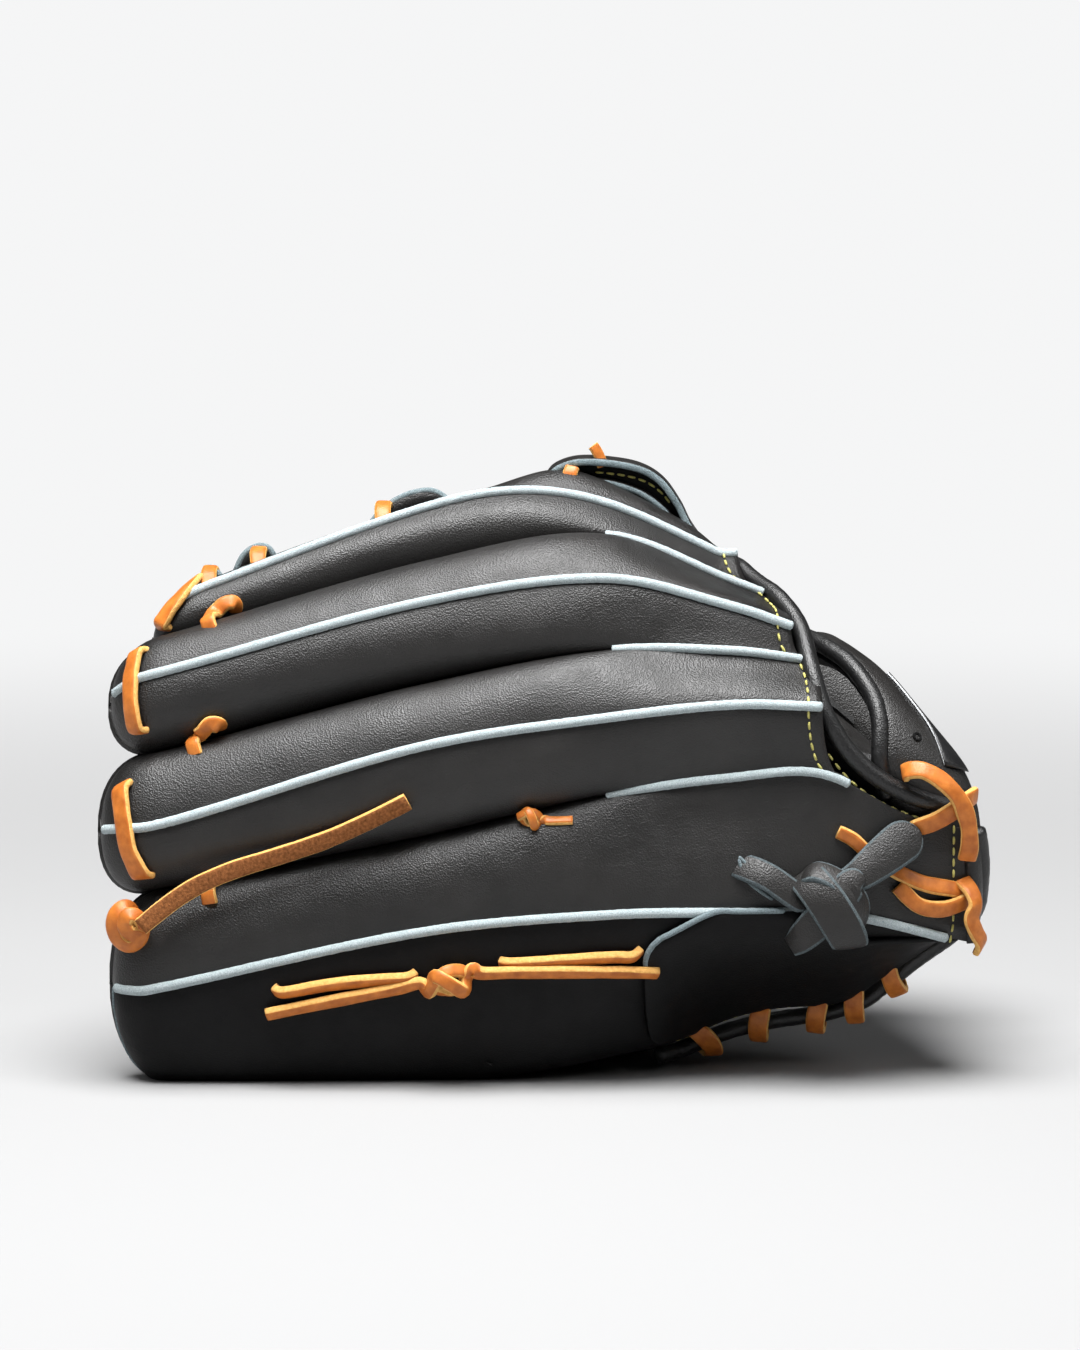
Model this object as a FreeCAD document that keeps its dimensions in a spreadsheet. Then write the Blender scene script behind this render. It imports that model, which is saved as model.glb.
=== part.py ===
import FreeCAD, Part
import math
import os

# A five-finger leather fielder's glove, standing on its little-finger edge.
# Frame: +X to the heel, the back of the fingers faces -Y, +Z up, millimetres.
# Every leather panel follows a few lines drawn along the hand (finger crests and
# the valleys between them), given as stations along X in the sheet.

doc = FreeCAD.newDocument("fielders_glove")
Vec = FreeCAD.Vector

# ---------------------------------------------------------------- driving sizes
SIZES = {
    "leather": 2.8,
    "seam_gap": 0.35,
    "welt_radius": 1.3,
    "binding_radius": 2.6,
    "lace_tube": 3.4,
    "front_depth": 10.0,
    "felt_thick": 4.0,
    "lining_thick": 1.4,
    "strap_thick": 4.0,
    "palm_start": 9.0,
    "palm_end": 138.0,
    "tip_round": 17.0,
    "tip_scale": 0.5,
    "spine_heel_x": 138.0,
    "spine_heel_y": 88.0,
    "spine_heel_z": 88.0,
    "spine_tip_x": -110.0,
    "spine_tip_y": 106.0,
    "spine_tip_z": 152.0,
    "spine_gap": 1.3,
    "row_shift_x": -0.3,
    "row_shift_y": -71.85,
}

# Lines along the hand: (x, y, z) stations.
LINES = {
    "pinky_crest": [
        (-142, 11, 30), (-125, 8, 33), (-40, 3, 52), (20, 2, 58), (62, 4, 58.5), (98, 8, 57),
        (138, 20, 46),
    ],
    "ring_crest": [
        (-145, 13, 84), (-125, 10, 86.4), (-40, 6, 112.3), (20, 5, 122), (62, 7, 126), (90, 9, 125),
    ],
    "middle_crest": [
        (-142, 27, 130), (-125, 24, 134), (-40, 28, 156.5), (20, 27, 164.5), (62, 28, 155),
        (82, 30, 148),
    ],
    "index_crest": [
        (-129, 48, 151), (-110, 51, 159), (-40, 60, 183.4), (-9, 62, 189), (20, 62, 185),
        (58, 64, 169.5),
    ],
    "thumb_crest": [
        (-90, 140, 119), (-70, 145, 117), (-20, 150, 114), (30, 151, 110), (80, 147, 105),
        (132, 134, 82),
    ],
    "pinky_floor": [
        (-142, 27, 4), (-125, 29, -2), (-40, 31, -2), (-15, 31, -1), (34, 31, 8.5), (47, 44, 9.5),
        (62, 46, 15.5), (78, 46, 19), (98, 46, 21), (112, 46, 30), (126, 45, 40), (138, 42, 49),
    ],
    "ring_pinky": [
        (-145, 21, 60), (-125, 21, 63.4), (-40, 17, 81.2), (20, 12.5, 95.8), (62, 10.5, 102),
        (90, 11, 103), (118, 15, 89), (138, 20, 83),
    ],
    "middle_ring": [
        (-145, 30, 104), (-125, 29, 107.6), (-40, 29, 129.5), (20, 23, 141.5), (62, 22, 141.5),
        (90, 28, 137),
    ],
    "index_middle": [
        (-142, 44, 138), (-125, 45, 142), (-40, 53, 165), (20, 51.5, 175.5), (62, 50, 160.5),
        (80, 52, 153),
    ],
    "index_web": [
        (-129, 62, 140), (-110, 70, 150), (-40, 84, 171), (-9, 86, 176), (20, 86, 175), (58, 88, 161),
    ],
    "thumb_near": [
        (-90, 127, 129), (-70, 129, 135), (-20, 131, 144), (30, 131, 142), (80, 126, 133),
        (100, 121, 122), (132, 112, 93),
    ],
    "thumb_far": [
        (-90, 130, 106), (-70, 131, 98), (-20, 134, 88), (30, 134, 83), (80, 131, 79), (132, 120, 70),
    ],
    "palm_foot": [(9, 60, 0), (30, 70, 0), (45, 69, 5), (75, 66, 24), (110, 62, 42), (138, 58, 56)],
    "palm_rise": [(9, 72, 12), (30, 80, 12), (45, 79, 20), (75, 74, 40), (110, 68, 54), (138, 64, 63)],
    "palm_mid": [(9, 57, 66), (45, 63, 66), (75, 70, 68), (110, 72, 70), (138, 72, 73)],
    "palm_high": [(9, 72, 106), (45, 75, 99), (75, 78, 93), (110, 80, 86), (138, 80, 81)],
}

# Stall name: crest line, its upper and lower neighbours, facing angle in degrees at the
# tip and at the wrist, tip and wrist ends of the back panels.
STALLS = {
    "pinky": ("pinky_crest", "ring_pinky", "pinky_floor", 0, 0, -141, 34),
    "ring": ("ring_crest", "middle_ring", "ring_pinky", 13, 13, -144.5, 82),
    "middle": ("middle_crest", "index_middle", "middle_ring", 32, 32, -141.5, 72),
    "index": ("index_crest", "index_web", "index_middle", 62, 74, -128.5, 54),
    "thumb": ("thumb_crest", "thumb_far", "thumb_near", 172, 160, -89.5, 131),
}

sheet = doc.addObject("Spreadsheet::Sheet", "Sizes")
row_count = 0


def add_cell(alias, value):
    """One driving number in the sheet, under a word alias."""
    global row_count
    row_count += 1
    sheet.set("A%d" % row_count, alias)
    sheet.set("B%d" % row_count, str(value))
    sheet.setAlias("B%d" % row_count, alias)


for size_name, size_value in SIZES.items():
    add_cell(size_name, size_value)
for line_name, stations in LINES.items():
    for index, station in enumerate(stations):
        for axis_name, value in zip("xyz", station):
            add_cell("%s_%s_st%d" % (line_name, axis_name, index), value)
doc.recompute()


def size(alias):
    """A driving number read from the sheet."""
    return float(sheet.get(alias))


LEATHER = size("leather")
GAP = size("seam_gap")
WELT_R = size("welt_radius")
BINDING_R = size("binding_radius")
LACE_R = size("lace_tube") / 2
PALM_START = size("palm_start")
PALM_END = size("palm_end")
SHIFT = Vec(size("row_shift_x"), size("row_shift_y"), 0)


def stations_of(line_name):
    """A line's stations, read back from the sheet."""
    found = []
    for index in range(len(LINES[line_name])):
        place = [size("%s_%s_st%d" % (line_name, axis, index)) for axis in "xyz"]
        found.append(tuple(place))
    return found


LINE_STATIONS = {name: stations_of(name) for name in LINES}


# ---------------------------------------------------------------- curves along the hand
def smooth(stations, x, column):
    """Cubic Hermite value of a column of the stations at x, held at both ends."""
    xs = [s[0] for s in stations]
    ys = [s[column] for s in stations]
    x = min(max(x, xs[0]), xs[-1])
    k = max(i for i in range(len(xs) - 1) if xs[i] <= x)
    slopes = []
    for i in range(len(xs)):
        a = max(i - 1, 0)
        b = min(i + 1, len(xs) - 1)
        slopes.append((ys[b] - ys[a]) / (xs[b] - xs[a]))
    step = xs[k + 1] - xs[k]
    t = (x - xs[k]) / step
    return (
        (1 + 2 * t) * (1 - t) ** 2 * ys[k]
        + t * (1 - t) ** 2 * step * slopes[k]
        + t * t * (3 - 2 * t) * ys[k + 1]
        + t * t * (t - 1) * step * slopes[k + 1]
    )


def on_line(line_name, x):
    """The point of a line at x."""
    stations = LINE_STATIONS[line_name]
    return Vec(x, smooth(stations, x, 1), smooth(stations, x, 2))


def spine(x):
    """The straight fold line through the web and the heel."""
    heel = Vec(size("spine_heel_x"), size("spine_heel_y"), size("spine_heel_z"))
    tip = Vec(size("spine_tip_x"), size("spine_tip_y"), size("spine_tip_z"))
    t = (x - heel.x) / (tip.x - heel.x)
    return heel + (tip - heel) * t


class Section:
    """One stall cut across at x: where its back and front faces run."""

    def __init__(self, stall, x):
        crest, upper, lower, tip_turn, wrist_turn, tip, self.end = STALLS[stall]
        t = (x - tip) / (self.end - tip)
        turn = math.radians(tip_turn + (wrist_turn - tip_turn) * t)
        self.out = Vec(0, -math.cos(turn), math.sin(turn))
        self.across = Vec(0, math.sin(turn), math.cos(turn))
        self.crest = on_line(crest, x)
        self.edge = {1: on_line(upper, x), -1: on_line(lower, x)}
        round_part = max(0.0, min(1.0, (tip + size("tip_round") - x) / size("tip_round")))
        self.scale = max(size("tip_scale"), (1 - round_part ** 2.4) ** (1 / 2.4))
        middle = (self.edge[1] + self.edge[-1]) * 0.5
        sink = 8.0 * max(0.0, min(1.0, (x + 30) / 50))
        self.core = middle - self.out * sink
        self.middle = middle

    def finish(self, point, inset):
        """Round a point towards the tip, then set it in towards the stall's core."""
        point = self.core + (point - self.core) * self.scale
        way = self.core - point
        far = way.Length
        return point + way * (min(inset, 0.72 * far) / far)

    def back(self, side, phi, inset):
        """A point of the back face: phi 0 at the valley, 90 at the crest."""
        edge = self.edge[side]
        depth = (self.crest - edge).dot(self.out)
        width = (edge - self.crest).dot(self.across)
        centre = self.crest - self.out * depth
        c = math.cos(math.radians(phi)) ** 0.9
        s = math.sin(math.radians(phi)) ** 0.9
        return self.finish(centre + self.across * (width * c) + self.out * (depth * s), inset)

    def welt_side(self, side):
        """The angle at which a back panel stops beside the crest welt."""
        width = abs((self.edge[side] - self.crest).dot(self.across))
        return 90 - math.degrees((WELT_R + GAP) / (width * self.scale))

    def front(self, psi, inset):
        """A point of the palm-side face: psi 0 at the upper valley, 180 at the lower."""
        arm = (self.edge[1] - self.edge[-1]) * 0.5
        inward = Vec(0, -arm.z, arm.y)
        inward.normalize()
        if inward.dot(self.out) > 0:
            inward = inward * -1
        deep = size("front_depth")
        c = math.cos(math.radians(psi))
        s = math.sin(math.radians(psi)) ** 2
        return self.finish(self.middle + arm * c + inward * (deep * s), inset)


# ---------------------------------------------------------------- solids
FLOOR_BOX = Part.makeBox(600, 600, 400, Vec(-300, -200, 0))


def smooth_curve(points):
    """A curve through the points, numbered along it from 0."""
    curve = Part.BSplineCurve()
    curve.interpolate(Points=points, Parameters=[float(i) for i in range(len(points))])
    return curve


def smooth_edge(points):
    """One curved edge through the points."""
    return smooth_curve(points).toShape()


def band_wire(outer, inner):
    """Closed cross-section between an outer and an inner row of points."""
    return Part.Wire(
        [
            smooth_edge(outer),
            Part.makeLine(outer[-1], inner[-1]),
            smooth_edge(inner[::-1]),
            Part.makeLine(inner[0], outer[0]),
        ]
    )


def loft(wires):
    """A smooth solid through the cross-sections, kept above the floor."""
    solid = Part.makeLoft(wires, True, False, False, 3)
    if solid.Volume < 0:
        solid.reverse()
    if solid.BoundBox.ZMin < 0:
        solid = solid.common(FLOOR_BOX)
    return solid


def spread(first, last, count):
    """Evenly spaced values, both ends included."""
    return [first + (last - first) * i / (count - 1) for i in range(count)]


def stall_xs(stall, end):
    """Stations of a stall: close together at the rounded tip."""
    tip = STALLS[stall][5]
    near = [tip, tip + 2.5, tip + 6.5, tip + 12, tip + 19]
    shared = [x for x in (-95, -65, -35, -5, 25, 52, 80, 105) if tip + 25 < x < end - 10]
    return near + shared + [end]


def back_panel(stall, side):
    """One of the two leather pieces of a stall's back."""
    wires = []
    for x in stall_xs(stall, STALLS[stall][6]):
        section = Section(stall, x)
        angles = spread(0.5, section.welt_side(side), 6)
        wall = LEATHER + 4 * (1 - section.scale)
        outer = [section.back(side, phi, GAP) for phi in angles]
        inner = [section.back(side, phi, GAP + wall) for phi in angles]
        wires.append(band_wire(outer, inner))
    return loft(wires)


def front_panel(stall):
    """The palm-side leather of a stall."""
    wires = []
    for x in stall_xs(stall, PALM_START - GAP):
        section = Section(stall, x)
        wall = LEATHER + 5 * (1 - section.scale)
        angles = spread(7, 173, 8)
        outer = [section.front(psi, GAP) for psi in angles]
        inner = [section.front(psi, GAP + wall) for psi in angles]
        wires.append(band_wire(outer, inner))
    return loft(wires)


def round_tube(points, radius):
    """A smooth tube through the points."""
    wires = []
    for i, point in enumerate(points):
        before = points[max(i - 1, 0)]
        after = points[min(i + 1, len(points) - 1)]
        circle = Part.Circle(point, (after - before).normalize(), radius)
        wires.append(Part.Wire([circle.toShape()]))
    return Part.makeLoft(wires, True, False, False, 3)


def offset_row(points, distance, plane_normal):
    """A row of points moved sideways in its plane."""
    moved = []
    for i, point in enumerate(points):
        along = points[min(i + 1, len(points) - 1)] - points[max(i - 1, 0)]
        side = plane_normal.cross(along)
        side.normalize()
        moved.append(point + side * distance)
    return moved


def sheet_strip(rows, near, far):
    """A curved sheet: each row is a cross-section, from depth near to depth far."""
    wires = []
    for row in rows:
        outer = offset_row(row, near, Vec(1, 0, 0))
        inner = offset_row(row, far, Vec(1, 0, 0))
        wires.append(band_wire(outer, inner))
    return loft(wires)


pieces = []


def add_feature(label, shape):
    """A sub-part whose shape is set from the sheet's sizes."""
    feature = doc.addObject("Part::Feature", label)
    feature.Label = label
    feature.Shape = shape
    feature.Placement = FreeCAD.Placement(SHIFT, FreeCAD.Rotation())
    pieces.append(feature)
    return feature


# ---------------------------------------------------------------- stalls and welts
HEEL_START = 34.6
HEEL_END = 126.0


def crest_row(stall, first, last, lift, count):
    """Points along a crest, lifted off the leather."""
    row = []
    for x in spread(first, last, count):
        section = Section(stall, x)
        row.append(section.finish(section.crest, 0) + section.out * lift)
    return row


for stall in STALLS:
    add_feature(stall + "_back_upper", back_panel(stall, 1))
    add_feature(stall + "_back_lower", back_panel(stall, -1))
    add_feature(stall + "_front", front_panel(stall))
    tip, end = STALLS[stall][5:]
    welt_end = HEEL_END if stall == "pinky" else end - 1
    welt = round_tube(crest_row(stall, tip + 4, welt_end, 0.2, 16), WELT_R)
    add_feature(stall + "_welt", welt)

HEEL_XS = [HEEL_START, 47, 62, 78, 98, 112, HEEL_END]


def layer(stall, side, xs, first, last, near, far):
    """A layer that follows a stall's back face between two angles and two depths."""
    wires = []
    for x in xs:
        section = Section(stall, x)
        angles = spread(first, min(last, section.welt_side(side)), 5)
        outer = [section.back(side, phi, near) for phi in angles]
        inner = [section.back(side, phi, far) for phi in angles]
        wires.append(band_wire(outer, inner))
    return loft(wires)


# ---------------------------------------------------------------- heel of the little finger
def heel_panels():
    """The two wrist panels beyond the little-finger stall, and the flap over them."""
    add_feature("heel_back_panel", layer("pinky", -1, HEEL_XS, 0.5, 90, GAP, GAP + LEATHER))
    side_xs = HEEL_XS + [138]
    add_feature("wrist_side_panel", layer("pinky", 1, side_xs, 0.5, 90, GAP, GAP + LEATHER))
    flap_xs = [HEEL_START - 1, 47, 62, 78, 90]
    add_feature("heel_flap", layer("pinky", -1, flap_xs, 30, 84, -2.4, -0.3))


heel_panels()


# ---------------------------------------------------------------- palm, thumb side and pads
PALM_XS = [PALM_START, 20, 32, 45, 60, 75, 92, 110, 124, PALM_END]
THUMB_PALM_XS = [PALM_START, 32, 55, 80, 105, 131]


def beside_spine(x, across, up):
    """A point beside the fold line."""
    return spine(x) + Vec(0, across, up)


def palm_row(x):
    """Cross-section of the palm leather's pocket side, from the floor to the fold line."""
    low = on_line("pinky_floor", x)
    row = [Vec(x, low.y + 3.5, max(low.z + 3.0, 0))]
    row.append(on_line("palm_foot", x))
    row.append(on_line("palm_rise", x))
    row.append(on_line("palm_mid", x))
    row.append(on_line("palm_high", x))
    row.append(beside_spine(x, -size("spine_gap"), 0))
    return row


def part_of_row(row, first, last, count):
    """Points of a row's smooth curve between two of its point numbers."""
    curve = smooth_curve(row)
    return [curve.value(t) for t in spread(first, last, count)]


def thumb_row(x):
    """Cross-section of the thumb side's pocket leather, from the fold line outwards."""
    start = beside_spine(x, size("spine_gap"), 0)
    near = on_line("thumb_near", x)
    far = on_line("thumb_far", x)
    shoulder = Vec(x, near.y - 9, near.z - 17)
    waist = (near + far) * 0.5 + Vec(0, -9, -3)
    return [start, (start + shoulder) * 0.5, shoulder, waist, far + Vec(0, -4, 3)]


def palm_and_pads():
    """Palm leather, felt and lining on the finger side; leather and felt on the thumb side."""
    rows = [palm_row(x) for x in PALM_XS]
    add_feature("palm_shell", sheet_strip(rows, 0, LEATHER))
    under = [part_of_row(row, 2.3, 4.6, 7) for row in rows[1:-1]]
    felt_to = LEATHER + 0.4 + size("felt_thick")
    add_feature("palm_pad", sheet_strip(under, LEATHER + 0.4, felt_to))
    add_feature("palm_lining", sheet_strip(under, felt_to + 0.4, felt_to + 0.4 + size("lining_thick")))
    thumb_rows = [thumb_row(x) for x in THUMB_PALM_XS]
    add_feature("thumb_palm", sheet_strip(thumb_rows, 0, LEATHER))
    felt_rows = [part_of_row(row, 1.8, 3.5, 5) for row in thumb_rows[1:-1]]
    add_feature("thumb_pad", sheet_strip(felt_rows, LEATHER + 0.6, LEATHER + 2.6))


def stays():
    """Moulded stiffeners behind the outer leather of the little finger and the thumb."""
    under = GAP + LEATHER + 0.5
    add_feature("pinky_stay", layer("pinky", -1, [-95, -60, -20, 20], 20, 75, under, under + 1.6))
    add_feature("thumb_stay", layer("thumb", 1, [-45, 0, 50, 95], 20, 75, under, under + 1.6))


def side_walls():
    """The leather between the index finger and the thumb, up to the fold line."""
    index_rows = []
    thumb_rows = []
    for x in (PALM_START + 2, 25, 40, 53):
        top = on_line("index_web", x)
        foot = beside_spine(x, -8, 6)
        index_rows.append([top + Vec(0, 0.5, -4), (top + foot) * 0.5 + Vec(0, 2, 0), foot])
        near = on_line("thumb_near", x)
        start = beside_spine(x, 8, 10)
        thumb_rows.append([start, (start + near) * 0.5 + Vec(0, 0, 1.5), near + Vec(0, -2.5, -0.5)])
    add_feature("index_side_wall", sheet_strip(index_rows, 0, LEATHER))
    add_feature("thumb_side_wall", sheet_strip(thumb_rows, -LEATHER, 0))


palm_and_pads()
stays()
side_walls()


# ---------------------------------------------------------------- web
def web_panels():
    """Two lobed posts laced to the index finger and the thumb, and the bar between them."""
    index_rows = []
    thumb_rows = []
    for x in (-106, -85, -62, -38, -22):
        top = on_line("index_web", x) + Vec(0, 3.2, 0)
        middle = beside_spine(x, 0, 0)
        index_rows.append([top, top * 0.75 + middle * 0.25, top * 0.48 + middle * 0.52])
        if x > -86:
            near = on_line("thumb_near", x) + Vec(0, -4.5, 0)
            thumb_rows.append([near * 0.48 + middle * 0.52, near * 0.75 + middle * 0.25, near])
    add_feature("web_index_post", sheet_strip(index_rows, 0, LEATHER))
    add_feature("web_thumb_post", sheet_strip(thumb_rows, 0, LEATHER))
    bar_rows = []
    for x in (-76, -66, -56):
        top = on_line("index_web", x) + Vec(0, 3.2, 0)
        near = on_line("thumb_near", x) + Vec(0, -4.5, 0)
        middle = beside_spine(x, 0, 0)
        bar_rows.append([top * 0.44 + middle * 0.56, middle, near * 0.44 + middle * 0.56])
    add_feature("web_cross_bar", sheet_strip(bar_rows, 0, LEATHER))


def band(path, widths, thick, lift=0.0):
    """A strap: rectangular cross-sections along a path of points, widths in vectors."""
    wires = []
    for i, point in enumerate(path):
        along = path[min(i + 1, len(path) - 1)] - path[max(i - 1, 0)]
        wide = widths[i]
        up = along.cross(wide)
        up.normalize()
        low = point + up * (lift - thick / 2)
        high = point + up * (lift + thick / 2)
        corners = [low - wide, low + wide, high + wide, high - wide]
        wires.append(Part.makePolygon(corners + corners[:1]))
    return Part.makeLoft(wires, True, False, False, 3)


def web_base():
    """The doubled loop strap over the base of the index finger, with its lace end."""
    path = [
        Vec(1, 78, 190.5), Vec(4, 78, 195), Vec(11, 78, 197.5), Vec(21, 78, 197),
        Vec(33, 78, 193), Vec(43, 78, 186.5), Vec(51, 79, 178),
    ]
    widths = [Vec(0, 6, 0)] * len(path)
    add_feature("web_base_loop", band(path, widths, 2.6))
    inner = [
        Vec(8, 78, 190.6), Vec(13, 78, 193), Vec(21, 78, 192.8), Vec(31, 78, 189.6), Vec(39, 78, 184.6),
    ]
    add_feature("web_base_inner", band(inner, [Vec(0, 5, 0)] * len(inner), 2.4))


web_panels()
web_base()


# ---------------------------------------------------------------- wrist strap
STRAP_PATH = [
    Vec(97, 91, 134), Vec(96, 76, 136.5), Vec(95.5, 56, 137), Vec(99, 36, 133), Vec(111, 19, 120.5),
    Vec(120, 8.5, 105), Vec(126, 6, 90), Vec(130, 8, 78),
]
STRAP_HALF = [9, 9, 8.5, 8, 8.5, 13, 13.5, 12.5]


def wrist_strap():
    """The strap across the wrist, its padded underside and the plain patch on it."""
    thick = size("strap_thick")
    wide = [Vec(half, 0, 0) for half in STRAP_HALF]
    add_feature("wrist_strap", band(STRAP_PATH, wide, thick))
    narrow = [Vec(half - 1.5, 0, 0) for half in STRAP_HALF[:6]]
    add_feature("wrist_strap_pad", band(STRAP_PATH[:6], narrow, 2.6, 4.3))
    patch = [Vec(half - 4, 0, 0) for half in STRAP_HALF[3:7]]
    add_feature("strap_patch", band(STRAP_PATH[3:7], patch, 1.2, -3.0))


wrist_strap()

# ---------------------------------------------------------------- bindings and laces
BACK_BINDING = [
    Vec(60, 82, 161), Vec(63, 70, 163), Vec(69, 60, 159), Vec(76, 50, 155), Vec(82.5, 39, 147),
    Vec(86, 25.5, 135), Vec(90, 17, 122), Vec(96.5, 16, 111), Vec(104, 16, 103), Vec(113, 16.5, 97),
    Vec(122, 17.5, 93), Vec(131, 20, 90),
]
HEEL_BINDING = [
    Vec(37, 39, 4.6), Vec(44, 46, 5.2), Vec(53, 49, 8.4), Vec(64, 50, 12), Vec(78, 50, 15), Vec(92, 50, 17),
    Vec(105, 50.5, 21), Vec(114, 51, 28), Vec(124, 50, 36), Vec(134, 46.5, 44), Vec(141, 40, 53),
    Vec(142.5, 33, 64),
    Vec(142, 27, 75), Vec(140.5, 23, 83),
]


def follow(points, count):
    """Evenly counted points of a smooth curve through a few."""
    curve = Part.BSplineCurve()
    curve.interpolate(points)
    first, last = curve.FirstParameter, curve.LastParameter
    return [curve.value(t) for t in spread(first, last, count)]


def bindings():
    """The rolled leather edges of the back opening, the heel and the thumb side."""
    add_feature("back_binding", round_tube(follow(BACK_BINDING, 20), BINDING_R))
    add_feature("heel_binding", round_tube(follow(HEEL_BINDING, 22), BINDING_R))
    thumb_edge = []
    for x, side, phi in ((135.5, -1, 10), (135.5, -1, 50), (135.5, 1, 88), (135.5, 1, 45), (135.5, 1, 5)):
        thumb_edge.append(Section("thumb", 131).back(side, phi, 1.7) + Vec(x - 131, 0, 0))
    add_feature("thumb_binding", round_tube(follow(thumb_edge, 12), BINDING_R - 0.4))


def hook(centre, along, first, radius, wire_radius, sweep):
    """An open lace loop round an edge: a bent round bar that starts at a direction."""
    along.normalize()
    first = first - along * first.dot(along)
    first.normalize()
    start = centre + first * radius
    circle = Part.Circle(start, along.cross(first), wire_radius)
    face = Part.Face(Part.Wire([circle.toShape()]))
    return face.revolve(centre, along, sweep)


def heel_laces():
    """Five lace loops round the heel binding, and the lace's knotted end beside the strap."""
    edge = follow(HEEL_BINDING, 60)
    loops = []
    for x in (55, 69, 84, 98, 110):
        k = min(range(1, 59), key=lambda i: abs(edge[i].x - x) + (200 if edge[i].z > 45 else 0))
        along = edge[k + 1] - edge[k - 1]
        loops.append(hook(edge[k], along, Vec(0, -0.55, 1), BINDING_R + 1.9, 1.3, 236))
    end_loop = [Vec(117, 2.5, 69), Vec(127, 0, 68), Vec(136, 2, 63), Vec(142, 6, 57)]
    loops.append(round_tube(follow(end_loop, 9), LACE_R))
    add_feature("heel_lace", Part.makeCompound(loops))


PINKY_LACE_TURN = 68


def over_stall(stall, x, angles, lift):
    """Points over a stall's back at x, from the lower side to the upper."""
    section = Section(stall, x)
    return [section.back(side, phi, -lift) for side, phi in angles]


def finger_laces():
    """Laces over the fingertips, between the fingers and along the little finger."""
    lift = LACE_R + 0.6
    over = ((-1, 45), (-1, 68), (-1, 89), (1, 68), (1, 45))
    tips = []
    for stall in ("ring", "middle", "index"):
        tips.append(round_tube(over_stall(stall, STALLS[stall][5] + 10, over, lift + 1.5), LACE_R))
    add_feature("fingertip_lace", Part.makeCompound(tips))
    links = []
    for lower, upper, x in (("pinky", "ring", -107), ("ring", "middle", -108), ("middle", "index", -103)):
        first = over_stall(lower, x, ((1, 62), (1, 42)), lift + 1)
        last = over_stall(upper, x, ((-1, 42), (-1, 62)), lift + 1)
        links.append(round_tube(follow(first + last, 8), LACE_R - 0.3))
    add_feature("finger_link_lace", Part.makeCompound(links))
    runs = []
    for first_x, last_x in ((-86, -49), (-7, 29)):
        row = [Section("pinky", x).back(-1, PINKY_LACE_TURN, -lift) for x in spread(first_x, last_x, 5)]
        runs.append(round_tube(row, LACE_R))
    add_feature("pinky_lace", Part.makeCompound(runs))
    post_ties = []
    for x in (-98, -50):
        top = on_line("index_web", x)
        row = [top + Vec(0, -4, 8.2), top + Vec(0, 1.5, 7.7), top + Vec(0, 7, 5)]
        post_ties.append(round_tube(follow(row, 6), 1.4))
    add_feature("web_index_lace", Part.makeCompound(post_ties))
    thumb_ties = []
    for x in (-70, -40):
        near = on_line("thumb_near", x)
        row = [near + Vec(0, -8, 5.6), near + Vec(0, -2, 6.2), near + Vec(0, 3.5, 5.4)]
        thumb_ties.append(round_tube(follow(row, 6), 1.4))
    add_feature("web_thumb_lace", Part.makeCompound(thumb_ties))


def strap_lace():
    """The lace that arches from the strap to the heel."""
    arch = [
        Vec(119, -0.8, 101), Vec(127, -2.2, 101), Vec(135, -1.2, 94), Vec(140, 0.8, 84), Vec(140.5, 3, 75),
    ]
    add_feature("strap_lace", round_tube(follow(arch, 12), LACE_R))


bindings()
heel_laces()
finger_laces()
strap_lace()


# ---------------------------------------------------------------- little-finger strap
def pinky_strap():
    """The adjusting strap of the little finger: it leaves a slit, is knotted, and ends in a tab."""
    root = [Vec(64, 1.8, 68), Vec(72, 0.5, 67.5), Vec(80, -3, 64)]
    tab = [Vec(104.5, -4, 66), Vec(112, -3, 73), Vec(121, 0.5, 81)]
    near = band(root, [Vec(1, 0, 5.5)] * 3, 2.6)
    far = band(tab, [Vec(-4, 0, 5)] * 3, 2.6)
    add_feature("pinky_strap", Part.makeCompound([near, far]))


pinky_strap()


# ---------------------------------------------------------------- knots and heel pads
def ellipsoid(label, centre, radii):
    """A rounded lump with its three half-sizes in the sheet."""
    for name, value in zip(("long", "deep", "high"), radii):
        add_cell("%s_%s" % (label, name), value)
    doc.recompute()
    lump = doc.addObject("Part::Ellipsoid", label)
    lump.Label = label
    lump.setExpression("Radius2", "Sizes.%s_long" % label)
    lump.setExpression("Radius3", "Sizes.%s_deep" % label)
    lump.setExpression("Radius1", "Sizes.%s_high" % label)
    lump.Placement = FreeCAD.Placement(centre + SHIFT, FreeCAD.Rotation())
    pieces.append(lump)


ellipsoid("tail_knot", Vec(-136, 2.2, 50), (5, 3.5, 8))
ellipsoid("pinky_lace_knot", Vec(-31, -2.3, 33), (9, 3.2, 7))
ellipsoid("valley_knot", Vec(-3, 3.2, 87), (4.5, 3.2, 3.5))
ellipsoid("pinky_strap_knot", Vec(92.5, -3.5, 59), (9.5, 5.5, 13))
ellipsoid("pinky_heel_pad", Vec(90, 45, 37), (23, 5, 6.5))
ellipsoid("thumb_heel_pad", Vec(97, 129.6, 94), (20, 3.3, 7))


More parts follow.
